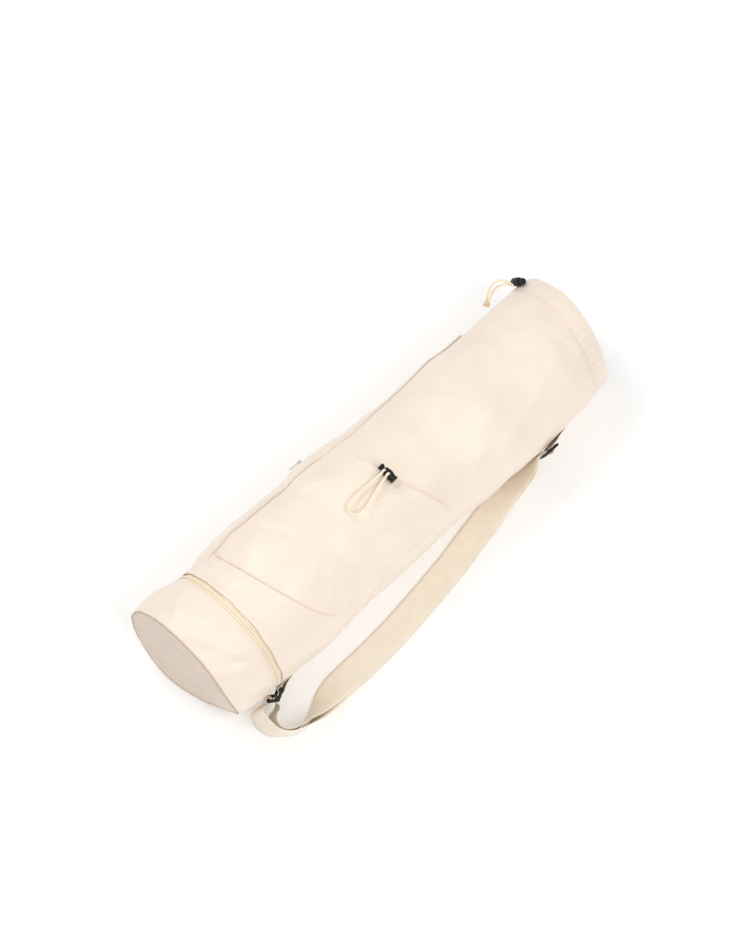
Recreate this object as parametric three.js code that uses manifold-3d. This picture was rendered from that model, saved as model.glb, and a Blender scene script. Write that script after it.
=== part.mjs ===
// Yoga mat bag: a soft drawstring tube with a zipped shoe cup, a gathered front pocket,
// a long side zip under a placket and a webbing shoulder strap, lying on its side.
// Millimetres. X runs from the base panel to the mouth, Z is up and the floor is Z = 0.
// Angles are in degrees round the bag, 0 at the top and positive towards the strap side.

import * as THREE from "three";
import Module from "manifold-3d";
import { mergeVertices } from "three/addons/utils/BufferGeometryUtils.js";

const wasm = await Module();
wasm.setup();

// Bag
const bagLength = 680;
const bodyRadius = 92;
const restSag = 3;
const cloth = 1.4;
const clearance = 0.3;
const seamGap = 0.5;
const basePanelThickness = 2;
const columnStep = 10;
const rowStep = 26;

// How far the base and the mouth are drawn in, low on the strap side, and the angles where it is deepest
const baseTuck = 19;
const baseTuckAngle = 132;
const baseTuckPower = 3;
const mouthTuck = 12;
const mouthTuckAngle = 70;
const mouthTuckPower = 2;
const mouthTuckReach = 62;

// Shoe cup zip
const shoeZipHeight = 72;
const shoeZipBelow = 5;
const shoeZipAbove = 12;
const shoeZipTapeLap = 7;
const shoeZipStart = -128;
const shoeZipEnd = 100;

// Side zip and its placket
const sideZipAngle = -79;
const sideZipFirst = 105;
const sideZipLast = 548;
const sideZipSlit = 7.5;
const sideZipTapeWidth = 26;
const placketEdgeAngle = -74;
const placketLift = 0.5;

// Zip parts
const tapeThickness = 0.8;
const coilWidth = 5;
const coilHeight = 2;
const zipSliderLength = 10;
const zipSliderWidth = 8;
const zipSliderHeight = 1.6;
const zipSliderPlace = 289;
const pullLength = 16;
const pullWidth = 5;
const pullThickness = 1.2;
const pullPinRadius = 0.8;
const pullEyeWall = 1.1;
const pullRestAngle = 3;

// Mouth hem
const hemWidth = 28;
const hemThickness = 2.6;
const hemPucker = 0.9;
const hemPuckers = 15;

// Front pocket
const pocketHemWidth = 15;
const pocketHemExtra = 0.9;
const pocketLift = 0.9;
const pocketPuff = 2;
const pocketGather = 0.9;

// Cord locks and cords
const lockFlangeRadius = 5.5;
const lockBodyRadius = 6.2;
const lockNeckRadius = 4.6;
const lockBoreRadius = 3.3;
const lockFlangeEnd = -12.5;
const lockMouthEnd = 6;
const lockBoreDepth = 10.2;
const buttonHeadRadius = 4.5;
const buttonHeadLength = 3.7;
const buttonTravel = 3;
const pocketLockInset = 1.58;
const pocketLockAngle = 11;
const mouthLockInset = 19;
const mouthLockAngle = -54;
const cordDiameter = 3.1;
const knotRadius = 4.3;
const knotStretch = 1.25;

// Strap, its slider, ring and tab
const strapWidth = 38;
const strapThickness = 1.2;
const strapSliderAngle = 113;
const strapSliderPlace = bagLength * 0.8;
const strapSliderLift = 6;
const strapSliderLength = 25;
const strapSliderThickness = 3;
const strapSlot = 6.5;
const ringAngle = 119;
const ringPlace = 79;
const ringLift = 6.5;
const ringLegA = 12.5;
const ringLegB = 11;
const ringBend = 30;
const ringYaw = 16;
const ringTilt = 3;
const ringBar = 4.2;
const ringWindowMargin = 1.6;
const hardwareEnd = 3.6;
const tabWidth = 36;
const tabLength = 18;

// Girth of the filled bag: the radius and its drift sideways, as shares of bodyRadius
const girthRows = [
  { along: 0.0, girth: 0.985, sideways: 0.0 },
  { along: 0.05, girth: 1.015, sideways: -0.03 },
  { along: 0.118, girth: 1.0, sideways: -0.085 },
  { along: 0.235, girth: 1.033, sideways: -0.076 },
  { along: 0.353, girth: 0.993, sideways: -0.037 },
  { along: 0.44, girth: 1.01, sideways: -0.052 },
  { along: 0.588, girth: 0.95, sideways: -0.076 },
  { along: 0.706, girth: 0.985, sideways: -0.115 },
  { along: 0.82, girth: 0.965, sideways: -0.108 },
  { along: 0.94, girth: 0.945, sideways: -0.075 },
  { along: 1.0, girth: 0.895, sideways: -0.03 },
];

// Dents and swells: centre, reach as a share of the length, sweep in degrees, rise as a share of bodyRadius
const reliefRows = [
  { along: 0.045, around: 60, reach: 0.035, sweep: 40, rise: 0.02 },
  { along: 0.07, around: -15, reach: 0.03, sweep: 24, rise: -0.014 },
  { along: 0.19, around: 55, reach: 0.03, sweep: 30, rise: -0.016 },
  { along: 0.3, around: 20, reach: 0.045, sweep: 18, rise: -0.018 },
  { along: 0.34, around: -22, reach: 0.05, sweep: 16, rise: 0.014 },
  { along: 0.42, around: 48, reach: 0.05, sweep: 18, rise: -0.016 },
  { along: 0.62, around: -20, reach: 0.06, sweep: 25, rise: 0.016 },
  { along: 0.72, around: 40, reach: 0.05, sweep: 24, rise: -0.014 },
  { along: 0.9, around: 70, reach: 0.045, sweep: 34, rise: 0.024 },
  { along: 0.11, around: 118, reach: 0.06, sweep: 24, rise: -0.038 },
];

// Seam where the placket leaves the body, in degrees, against the share of the length
const placketRows = [
  { along: 0.13, around: -50 },
  { along: 0.22, around: -46.5 },
  { along: 0.45, around: -45.5 },
  { along: 0.53, around: -48 },
  { along: 0.64, around: -58 },
  { along: 0.83, around: -67 },
];

// Lower seam and gathered mouth of the front pocket, as shares of the length, from side to side
const pocketRows = [
  { around: -44, bottom: 0.168, top: 0.4706 },
  { around: -34, bottom: 0.165, top: 0.472 },
  { around: -4, bottom: 0.172, top: 0.482 },
  { around: 17, bottom: 0.184, top: 0.4926 },
  { around: 40, bottom: 0.206, top: 0.52 },
  { around: 62, bottom: 0.236, top: 0.546 },
  { around: 73, bottom: 0.266, top: 0.55 },
];

// Strap on the floor, from the slider to the ring and back. Columns: the lower edge's place as shares of
// bagLength and bodyRadius, then how far the upper edge stands off along and outwards, as shares of its width
const outerRunRows = [
  { along: 0.757, out: 0.943, up: 0.25, topAlong: 0, topOut: 0.62 },
  { along: 0.735, out: 0.89, up: 0.15, topAlong: 0, topOut: 0.77 },
  { along: 0.691, out: 0.815, up: 0.042, topAlong: 0, topOut: 0.95 },
  { along: 0.647, out: 0.85, up: 0.012, topAlong: 0, topOut: 0.996 },
  { along: 0.591, out: 0.915, up: 0.011, topAlong: 0, topOut: 1 },
  { along: 0.535, out: 0.995, up: 0.011, topAlong: 0, topOut: 1 },
  { along: 0.488, out: 1.045, up: 0.011, topAlong: 0, topOut: 1 },
  { along: 0.438, out: 1.09, up: 0.011, topAlong: 0, topOut: 1 },
  { along: 0.369, out: 1.145, up: 0.011, topAlong: 0, topOut: 1 },
  { along: 0.319, out: 1.172, up: 0.011, topAlong: 0, topOut: 1 },
  { along: 0.265, out: 1.182, up: 0.011, topAlong: 0, topOut: 1 },
  { along: 0.199, out: 1.2, up: 0.011, topAlong: 0, topOut: 0.985 },
  { along: 0.169, out: 1.295, up: 0.011, topAlong: 0, topOut: 0.87 },
  { along: 0.14, out: 1.42, up: 0.011, topAlong: -0.05, topOut: 0.6 },
  { along: 0.112, out: 1.5, up: 0.011, topAlong: -0.06, topOut: 0.3 },
  { along: 0.089, out: 1.464, up: 0.011, topAlong: -0.02, topOut: 0.26 },
  { along: 0.071, out: 1.37, up: 0.011, topAlong: 0.06, topOut: 0.31 },
  { along: 0.0545, out: 1.25, up: 0.013, topAlong: 0.2, topOut: 0.35 },
  { along: 0.0486, out: 1.1, up: 0.026, topAlong: 0.26, topOut: 0.4 },
  { along: 0.0505, out: 0.97, up: 0.06, topAlong: 0.22, topOut: 0.42 },
  { along: 0.058, out: 0.875, up: 0.12, topAlong: 0.1, topOut: 0.42 },
];
const innerRunRows = [
  { along: 0.1, out: 1, up: 0.15, topAlong: -0.15, topOut: 0.4 },
  { along: 0.091, out: 1.03, up: 0.11, topAlong: -0.06, topOut: 0.42 },
  { along: 0.076, out: 1.045, up: 0.08, topAlong: 0.06, topOut: 0.42 },
  { along: 0.0635, out: 1.1, up: 0.05, topAlong: 0.18, topOut: 0.4 },
  { along: 0.06, out: 1.2, up: 0.035, topAlong: 0.18, topOut: 0.35 },
  { along: 0.066, out: 1.3, up: 0.03, topAlong: 0.1, topOut: 0.31 },
  { along: 0.079, out: 1.385, up: 0.03, topAlong: 0.03, topOut: 0.29 },
  { along: 0.0973, out: 1.43, up: 0.03, topAlong: -0.03, topOut: 0.28 },
  { along: 0.118, out: 1.425, up: 0.03, topAlong: -0.05, topOut: 0.36 },
  { along: 0.14, out: 1.36, up: 0.03, topAlong: -0.03, topOut: 0.6 },
  { along: 0.169, out: 1.25, up: 0.03, topAlong: 0, topOut: 0.86 },
  { along: 0.199, out: 1.185, up: 0.03, topAlong: 0, topOut: 0.97 },
  { along: 0.265, out: 1.165, up: 0.03, topAlong: 0, topOut: 1 },
  { along: 0.319, out: 1.155, up: 0.03, topAlong: 0, topOut: 1 },
  { along: 0.369, out: 1.13, up: 0.03, topAlong: 0, topOut: 1 },
  { along: 0.438, out: 1.075, up: 0.03, topAlong: 0, topOut: 1 },
  { along: 0.488, out: 1.03, up: 0.03, topAlong: 0, topOut: 1 },
  { along: 0.535, out: 0.98, up: 0.03, topAlong: 0, topOut: 1 },
  { along: 0.591, out: 0.9, up: 0.03, topAlong: 0, topOut: 1 },
  { along: 0.647, out: 0.83, up: 0.032, topAlong: 0, topOut: 0.996 },
  { along: 0.691, out: 0.793, up: 0.062, topAlong: 0, topOut: 0.95 },
  { along: 0.735, out: 0.869, up: 0.174, topAlong: 0, topOut: 0.77 },
  { along: 0.757, out: 0.916, up: 0.268, topAlong: 0, topOut: 0.62 },
];

// Routes of the free cords, chosen by hand, in millimetres
const pocketCordPoints = [
  [-15.7, -21.5, 194.2],
  [-24, -21, 192.5],
  [-34, -20.5, 191.3],
  [-46, -20, 191.3],
  [-58, -20.5, 191.9],
  [-68, -22, 192.3],
  [-76, -25, 192.2],
  [-80, -30, 191.6],
  [-79, -35.5, 190.6],
  [-73.5, -39.5, 189.5],
  [-64, -40.5, 189],
  [-52, -37.5, 188.8],
  [-40, -34, 189],
  [-28, -30.5, 190.2],
  [-15.7, -28.5, 192.6],
];
const mouthCordOuterPoints = [
  [313.3, 70.5, 133],
  [310, 76.5, 138.5],
  [305, 83, 142],
  [299, 88.5, 139],
  [294.2, 91.5, 130],
  [290.6, 92.2, 120],
  [287.6, 91.6, 112.2],
  [285.2, 90.3, 106],
];
const mouthCordInnerPoints = [
  [314.5, 73, 129.6],
  [309.3, 79, 131.8],
  [303.2, 84, 130],
  [297.2, 87, 124],
  [291.8, 88, 116.2],
  [287.4, 87.3, 110.6],
  [284.6, 86.5, 106.5],
];
const mouthKnotPlace = [283.8, 88.4, 100.6];

const { degToRad, clamp } = THREE.MathUtils;
const bag = new THREE.Group();

const fabric = { color: 0xf6ecdf, roughness: 0.62, metalness: 0 };
const panelFabric = { color: 0xdccbba, roughness: 0.7, metalness: 0 };
const webbing = { color: 0xf1e5cb, roughness: 0.8, metalness: 0 };
const cordFabric = { color: 0xf8edc8, roughness: 0.75, metalness: 0 };
const zipCloth = { color: 0xf3e8cf, roughness: 0.75, metalness: 0 };
const blackPlastic = { color: 0x1c1b1d, roughness: 0.45, metalness: 0 };
const silverMetal = { color: 0xb9b7b3, roughness: 0.3, metalness: 1 };

function addPiece(name, geometry, look) {
  const piece = new THREE.Mesh(geometry, new THREE.MeshStandardMaterial(look));
  piece.name = name;
  bag.add(piece);
  return piece;
}

// Smooth reading of one column of a table
function readTable(rows, key, at, column) {
  const last = rows.length - 1;
  let i = 0;
  while (i < last - 1 && at > rows[i + 1][key]) i += 1;
  const before = rows[Math.max(i - 1, 0)];
  const start = rows[i];
  const end = rows[i + 1];
  const after = rows[Math.min(i + 2, last)];
  const span = end[key] - start[key];
  const t = clamp((at - start[key]) / span, 0, 1);
  const slopeStart = (end[column] - before[column]) / (end[key] - before[key]) * span;
  const slopeEnd = (after[column] - start[column]) / (after[key] - start[key]) * span;
  const rise = end[column] - start[column];
  const curve = slopeEnd + slopeStart - 2 * rise;
  return start[column] + t * (slopeStart + t * (3 * rise - 2 * slopeStart - slopeEnd + t * curve));
}

function relief(share, angle) {
  let height = 0;
  for (const row of reliefRows) {
    const away = (share - row.along) / row.reach;
    const aside = (angle - row.around) / row.sweep;
    height += row.rise * bodyRadius * Math.exp(-away * away - aside * aside);
  }
  return height;
}

function tuckAt(depth, deepest, power, angle) {
  return depth * Math.max(0, Math.cos(degToRad(angle - deepest))) ** power;
}

// Shift along the bag, from where its ends are drawn in
function drawnIn(place, angle) {
  const nearBase = clamp(1 - place / cupEdge, 0, 1);
  const nearMouth = clamp(1 - (hemEdge - place) / mouthTuckReach, 0, 1);
  return tuckAt(baseTuck, baseTuckAngle, baseTuckPower, angle) * nearBase
    - tuckAt(mouthTuck, mouthTuckAngle, mouthTuckPower, angle) * nearMouth;
}

// A point on the bag, lifted off its outer face; the underside is pressed flat on the floor
function skin(place, angle, lift) {
  const share = place / bagLength;
  const girth = bodyRadius * readTable(girthRows, "along", share, "girth");
  const sideways = bodyRadius * readTable(girthRows, "along", share, "sideways");
  const radius = girth + relief(share, angle) + lift;
  const turn = degToRad(angle);
  const floor = Math.max(0, -lift);
  const height = girth - restSag + radius * Math.cos(turn);
  const along = place - bagLength / 2 + drawnIn(place, angle);
  return new THREE.Vector3(along, sideways - radius * Math.sin(turn), Math.max(height, floor));
}

// Axes of a fitting on the bag: round it towards the top, along it towards the base, and outwards
function seatOn(place, angle, lift) {
  const turn = degToRad(angle);
  const around = new THREE.Vector3(0, Math.cos(turn), Math.sin(turn));
  const along = new THREE.Vector3(-1, 0, 0);
  const out = new THREE.Vector3(0, -Math.sin(turn), Math.cos(turn));
  return new THREE.Matrix4().makeBasis(around, along, out).setPosition(skin(place, angle, lift));
}

function seat(piece, matrix) {
  piece.position.setFromMatrixPosition(matrix);
  piece.quaternion.setFromRotationMatrix(matrix);
}

function turnOutward(vertices, faces) {
  let volume = 0;
  const corner = (k) => new THREE.Vector3().fromArray(vertices, 3 * k);
  for (let i = 0; i < faces.length; i += 3) {
    volume += corner(faces[i]).dot(corner(faces[i + 1]).cross(corner(faces[i + 2])));
  }
  if (volume < 0) faces.reverse();
  const geometry = new THREE.BufferGeometry();
  geometry.setAttribute("position", new THREE.Float32BufferAttribute(vertices, 3));
  geometry.setIndex(faces);
  geometry.computeVertexNormals();
  return geometry;
}

// Closed solid between two grids of points; isCloth leaves cells out and wrap joins the last column to the first
function sheet(outer, inner, wrap = false, isCloth = () => true) {
  const rows = outer.length;
  const columns = outer[0].length;
  const cellColumns = wrap ? columns : columns - 1;
  const vertices = [];
  const numbers = new Map();
  const number = (layer, i, j) => {
    const key = `${layer} ${i} ${j % columns}`;
    if (!numbers.has(key)) {
      numbers.set(key, numbers.size);
      vertices.push(...(layer ? outer : inner)[i][j % columns].toArray());
    }
    return numbers.get(key);
  };
  const faces = [];
  const addQuad = (a, b, c, d) => faces.push(a, b, c, a, c, d);
  const hasCell = (i, j) => {
    const column = wrap ? (j + cellColumns) % cellColumns : j;
    return i >= 0 && i < rows - 1 && column >= 0 && column < cellColumns && isCloth(i, column);
  };
  const addWall = (i0, j0, i1, j1) => {
    addQuad(number(1, i0, j0), number(1, i1, j1), number(0, i1, j1), number(0, i0, j0));
  };
  for (let i = 0; i < rows - 1; i += 1) {
    for (let j = 0; j < cellColumns; j += 1) {
      if (!hasCell(i, j)) continue;
      addQuad(number(1, i, j), number(1, i + 1, j), number(1, i + 1, j + 1), number(1, i, j + 1));
      addQuad(number(0, i, j), number(0, i, j + 1), number(0, i + 1, j + 1), number(0, i + 1, j));
      if (!hasCell(i - 1, j)) addWall(i, j, i, j + 1);
      if (!hasCell(i + 1, j)) addWall(i + 1, j + 1, i + 1, j);
      if (!hasCell(i, j - 1)) addWall(i + 1, j, i, j);
      if (!hasCell(i, j + 1)) addWall(i, j + 1, i + 1, j + 1);
    }
  }
  return turnOutward(vertices, faces);
}

// Evenly spaced values from first to last, with further values that must be among them
function spread(first, last, step, ...marks) {
  const count = Math.max(1, Math.round((last - first) / step));
  const even = Array.from({ length: count + 1 }, (_, i) => first + (last - first) * i / count);
  const inside = marks.filter((mark) => mark > first && mark < last);
  const clear = even.filter((value) => value === first || value === last
    || inside.every((mark) => Math.abs(mark - value) > step / 3));
  return [...clear, ...inside].sort((a, b) => a - b);
}

// Cloth that lies on the bag, between two lifts that may vary from place to place
function clothOn(places, angles, innerLift, thickness, wrap, isCloth) {
  const layer = (extra) => places.map((place) => angles.map((angle) => {
    const at = typeof place === "function" ? place(angle) : place;
    const lift = typeof innerLift === "function" ? innerLift(place, angle) : innerLift;
    return skin(at, angle, lift + extra);
  }));
  return sheet(layer(thickness), layer(0), wrap, isCloth);
}

// Flat band of strap or tape through stations, each with a centre and a direction across it
function band(stations, width, thickness) {
  const last = stations.length - 1;
  const rows = { outer: [], inner: [] };
  stations.forEach(({ centre, across }, i) => {
    const way = stations[Math.min(i + 1, last)].centre.clone().sub(stations[Math.max(i - 1, 0)].centre).normalize();
    const normal = way.clone().cross(across).normalize().multiplyScalar(thickness / 2);
    const edges = [-width / 2, width / 2].map((reach) => centre.clone().addScaledVector(across, reach));
    const outer = edges.map((edge) => edge.clone().add(normal));
    const inner = edges.map((edge) => edge.clone().sub(normal));
    const sunk = Math.max(0, ...[...outer, ...inner].map((corner) => -corner.z));
    for (const corner of [...outer, ...inner]) corner.z += sunk;
    rows.outer.push(outer);
    rows.inner.push(inner);
  });
  return sheet(rows.outer, rows.inner);
}

function tube(points, diameter, step) {
  const route = new THREE.CatmullRomCurve3(points.map((point) => new THREE.Vector3(...point)), false, "centripetal");
  const steps = Math.round(route.getLength() / step);
  const section = new THREE.Shape().absarc(0, 0, diameter / 2, 0, 2 * Math.PI);
  return new THREE.ExtrudeGeometry(section, { steps, curveSegments: 4, extrudePath: route });
}

function toSolid(geometry) {
  const bare = geometry.clone();
  bare.deleteAttribute("normal");
  bare.deleteAttribute("uv");
  const merged = mergeVertices(bare, 1e-4);
  const mesh = new wasm.Mesh({
    numProp: 3,
    vertProperties: new Float32Array(merged.attributes.position.array),
    triVerts: new Uint32Array(merged.index.array),
  });
  return new wasm.Manifold(mesh);
}

function fromSolid(solid) {
  const { vertProperties, triVerts } = solid.getMesh();
  const geometry = new THREE.BufferGeometry();
  geometry.setAttribute("position", new THREE.BufferAttribute(new Float32Array(vertProperties), 3));
  geometry.setIndex(new THREE.BufferAttribute(new Uint32Array(triVerts), 1));
  geometry.computeVertexNormals();
  return geometry;
}

function join(first, ...others) {
  return fromSolid(others.reduce((solid, other) => solid.add(toSolid(other)), toSolid(first)));
}

function cut(first, ...others) {
  return fromSolid(others.reduce((solid, other) => solid.subtract(toSolid(other)), toSolid(first)));
}

// Turned solid with its axis along X
function turned(profile, sides) {
  const points = profile.map(([radius, at]) => new THREE.Vector2(radius, at));
  return new THREE.LatheGeometry(points, sides).rotateZ(-Math.PI / 2);
}

function block(lengthX, lengthY, lengthZ, x, y, z) {
  return new THREE.BoxGeometry(lengthX, lengthY, lengthZ).translate(x, y, z);
}

function rod(radius, length, sides, x, y, z) {
  return new THREE.CylinderGeometry(radius, radius, length, sides).rotateZ(Math.PI / 2).translate(x, y, z);
}

const degreesFor = (width) => THREE.MathUtils.radToDeg(width / bodyRadius);
const cupEdge = shoeZipHeight - shoeZipBelow;
const bodyEdge = shoeZipHeight + shoeZipAbove;
const hemEdge = bagLength - hemWidth;
const placketAngle = (place) => readTable(placketRows, "along", place / bagLength, "around");
const pocketEdge = (angle, side) => bagLength * readTable(pocketRows, "around", angle, side);

// Lines of the cloth grid that every layer of cloth shares
const slitHalf = degreesFor(sideZipSlit) / 2;
const slit = [sideZipAngle - slitHalf, sideZipAngle + slitHalf];
const ringAngles = spread(-180, 180, columnStep, ...slit, shoeZipStart, shoeZipEnd).slice(0, -1);
const bodyPlaces = spread(bodyEdge, hemEdge - seamGap, rowStep, bodyEdge + shoeZipTapeLap, sideZipFirst, sideZipLast);
const cupPlaces = spread(0, cupEdge, rowStep * 0.7, cupEdge - shoeZipTapeLap);
const coilRows = (middle) => [middle - coilWidth / 2, middle + coilWidth / 2];
const between = (values, first, last) => [
  first,
  ...values.filter((value) => value > first + 1 && value < last - 1),
  last,
];

function addBody() {
  const isCloth = (i, j) => {
    const inSlit = ringAngles[j] >= slit[0] && ringAngles[j] < slit[1];
    return !(inSlit && bodyPlaces[i] >= sideZipFirst && bodyPlaces[i] < sideZipLast);
  };
  addPiece("body_tube", clothOn(bodyPlaces, ringAngles, -cloth, cloth, true, isCloth), fabric);
}

// The cup is hinged to the body by its own cloth where the zip does not reach
function addShoeCup() {
  const places = [...cupPlaces, shoeZipHeight, bodyEdge - clearance];
  const isCloth = (i, j) => {
    const underZip = ringAngles[j] >= shoeZipStart && ringAngles[j] < shoeZipEnd;
    return places[i] < cupEdge || !underZip;
  };
  addPiece("shoe_cup", clothOn(places, ringAngles, -cloth, cloth, true, isCloth), fabric);
}

function addBasePanel() {
  const angles = ringAngles;
  const lift = -cloth - clearance;
  const rim = (place) => angles.map((angle) => skin(place, angle, lift));
  const vertices = [...rim(0), ...rim(basePanelThickness)].flatMap((point) => point.toArray());
  const count = angles.length;
  const middle = (place) => skin(place, 0, 0).add(skin(place, 180, 0)).multiplyScalar(0.5);
  vertices.push(...middle(0).toArray(), ...middle(basePanelThickness).toArray());
  const faces = [];
  for (let j = 0; j < count; j += 1) {
    const next = (j + 1) % count;
    faces.push(2 * count, j, next, 2 * count + 1, count + next, count + j);
    faces.push(j, count + j, count + next, j, count + next, next);
  }
  addPiece("base_panel", turnOutward(vertices, faces), panelFabric);
}

function addShoeZip() {
  const under = -cloth - seamGap;
  const tapeAngles = between(ringAngles, shoeZipStart, shoeZipEnd);
  const coilPlaces = coilRows(shoeZipHeight);
  const tapePlaces = [cupEdge - shoeZipTapeLap, cupEdge, ...coilPlaces, bodyEdge, bodyEdge + shoeZipTapeLap];
  addPiece("shoe_zip_tape", clothOn(tapePlaces, tapeAngles, under - tapeThickness, tapeThickness), zipCloth);
  const endGap = degreesFor(2 * clearance);
  const coilAngles = between(ringAngles, shoeZipStart + endGap, shoeZipEnd - endGap);
  addPiece("shoe_zip_coil", clothOn(coilPlaces, coilAngles, under + clearance, coilHeight), zipCloth);
  const sliderAngle = shoeZipStart + degreesFor(zipSliderLength);
  const coilTop = under + clearance + coilHeight;
  const slider = join(
    block(zipSliderLength, zipSliderWidth, zipSliderHeight, 0, 0, 0),
    block(zipSliderLength - 4, 1.2, 3, 0, 0, 2),
    block(pullLength, pullWidth, pullThickness, pullLength / 2 - 1, 0, zipSliderHeight / 2 + 1.6),
  );
  const piece = addPiece("shoe_zip_slider", slider, silverMetal);
  seat(piece, seatOn(shoeZipHeight, sliderAngle, coilTop + clearance + zipSliderHeight / 2 + 0.4));
}

function addSideZip() {
  const under = -cloth - seamGap;
  const overlap = 8;
  const tapeFirst = sideZipAngle - degreesFor(sideZipTapeWidth) / 2;
  const tapeLast = sideZipAngle + degreesFor(sideZipTapeWidth) / 2;
  const tapePlaces = between(bodyPlaces, sideZipFirst - overlap, sideZipLast + overlap);
  const tapeAngles = between(ringAngles, tapeFirst, tapeLast);
  addPiece("side_zip_tape", clothOn(tapePlaces, tapeAngles, under - tapeThickness, tapeThickness), zipCloth);
  const coilHalf = degreesFor(coilWidth) / 2;
  const coilPlaces = between(bodyPlaces, sideZipFirst + clearance, sideZipLast - clearance);
  const coilAngles = [sideZipAngle - coilHalf, sideZipAngle + coilHalf];
  addPiece("side_zip_coil", clothOn(coilPlaces, coilAngles, under + clearance, coilHeight), zipCloth);
}

// Ears and cross pin stand on the slider, and the pull turns on the pin
function addSideZipSlider() {
  const coilTop = -cloth - seamGap + clearance + coilHeight;
  const facetSlack = 0.5;
  const bodyLift = coilTop + clearance + facetSlack + zipSliderHeight / 2;
  const earThickness = 1.1;
  const eyeRadius = pullPinRadius + clearance + pullEyeWall;
  const pinHeight = zipSliderHeight / 2 + eyeRadius + clearance;
  const earInside = pullWidth / 2 + clearance;
  const earHeight = pinHeight + pullPinRadius + 0.5;
  const pinLine = -zipSliderLength / 4;
  const ear = (side) => block(earThickness, 3, earHeight, side * (earInside + earThickness / 2), pinLine, earHeight / 2);
  const slider = join(
    block(zipSliderWidth, zipSliderLength, zipSliderHeight, 0, 0, 0),
    ear(-1),
    ear(1),
    rod(pullPinRadius, 2 * earInside + earThickness, 8, 0, pinLine, pinHeight),
  );
  const base = seatOn(zipSliderPlace, sideZipAngle, bodyLift);
  seat(addPiece("side_zip_slider", slider, silverMetal), base);

  const eye = rod(eyeRadius, pullWidth, 10, 0, 0, 0);
  const bore = rod(pullPinRadius + clearance + 0.1, pullWidth + 2, 12, 0, 0, 0);
  const stem = block(pullWidth, pullLength, pullThickness, 0, pullLength / 2 + pullPinRadius + clearance + 0.6, 0);
  const pull = cut(join(eye, stem), bore).rotateX(degToRad(pullRestAngle));
  const pullSeat = base.clone().multiply(new THREE.Matrix4().makeTranslation(0, pinLine, pinHeight));
  seat(addPiece("side_zip_pull", pull, silverMetal), pullSeat);
}

function addPlacket() {
  const places = between(bodyPlaces, bodyEdge + 5, sideZipLast + 12);
  const shares = [0, 0.2, 0.4, 0.6, 0.8, 1];
  const point = (place, share, extra) => {
    const seam = placketAngle(place) - degreesFor(seamGap);
    const lift = seamGap + placketLift * share * share + extra;
    return skin(place, seam + (placketEdgeAngle - seam) * share, lift);
  };
  const layer = (extra) => places.map((place) => shares.map((share) => point(place, share, extra)));
  addPiece("side_placket", sheet(layer(cloth), layer(0)), fabric);
}

function addMouthHem() {
  const angles = spread(-180, 180, columnStep / 2).slice(0, -1);
  const places = [hemEdge, hemEdge + hemWidth * 0.6, bagLength];
  const pucker = (place, angle) => {
    const reach = Math.exp(-(((angle - 60) / 60) ** 2));
    const depth = hemPucker * reach * (place - hemEdge) / hemWidth;
    return -hemThickness + depth * Math.cos(degToRad(angle * hemPuckers));
  };
  addPiece("mouth_hem", clothOn(places, angles, pucker, hemThickness, true), fabric);
}

function addPocket() {
  const first = pocketRows[0].around;
  const last = pocketRows[pocketRows.length - 1].around;
  const angles = spread(first, last, columnStep * 0.6);
  const shares = [0, 0.12, 0.28, 0.44, 0.6, 0.76, 0.87, 1];
  const layer = (outside) => shares.map((share, i) => angles.map((angle) => {
    const bottom = pocketEdge(angle, "bottom");
    const top = pocketEdge(angle, "top");
    const hemStart = top - pocketHemWidth;
    const inHem = i >= shares.length - 2;
    const place = i === shares.length - 2 ? hemStart : bottom + (top - bottom) * share;
    const aside = (angle - first) / (last - first);
    const puff = pocketPuff * Math.sin(Math.PI * aside) * Math.min(1, 3 * share);
    const gather = inHem ? pocketGather * Math.exp(-(((angle - 42) / 26) ** 2)) * (1 + Math.cos(Math.PI * angle / 6)) : 0;
    const hem = inHem && outside ? pocketHemExtra : 0;
    return skin(place, angle, pocketLift + puff + gather + hem + (outside ? cloth : 0));
  }));
  addPiece("front_pocket", sheet(layer(true), layer(false)), fabric);
}

// Barrel lock with a sprung button that slides in its bore
function addCordLock(prefix, place, angle, lift, quarterTurns = 0) {
  const body = turned([
    [0, lockFlangeEnd],
    [lockFlangeRadius, lockFlangeEnd],
    [lockFlangeRadius, lockFlangeEnd + 2],
    [lockNeckRadius, lockFlangeEnd + 2.6],
    [lockBodyRadius - 0.6, -6],
    [lockBodyRadius, -2],
    [lockBodyRadius - 0.6, 2],
    [lockNeckRadius, lockMouthEnd],
    [lockBoreRadius, lockMouthEnd],
    [lockBoreRadius, lockMouthEnd - lockBoreDepth],
    [0, lockMouthEnd - lockBoreDepth],
  ], 12);
  const stemRadius = lockBoreRadius - clearance;
  const headStart = lockMouthEnd + buttonTravel + clearance;
  const stemEnd = lockMouthEnd - lockBoreDepth + buttonTravel + clearance;
  const button = turned([
    [0, stemEnd],
    [stemRadius, stemEnd],
    [stemRadius, headStart],
    [buttonHeadRadius, headStart],
    [buttonHeadRadius, headStart + buttonHeadLength - 0.8],
    [buttonHeadRadius - 0.8, headStart + buttonHeadLength],
    [0, headStart + buttonHeadLength],
  ], 12);
  const base = seatOn(place, angle, lift).multiply(new THREE.Matrix4().makeRotationZ(quarterTurns * Math.PI / 2));
  seat(addPiece(`${prefix}_cord_lock`, body, blackPlastic), base);
  seat(addPiece(`${prefix}_lock_button`, button, blackPlastic), base);
}

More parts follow.
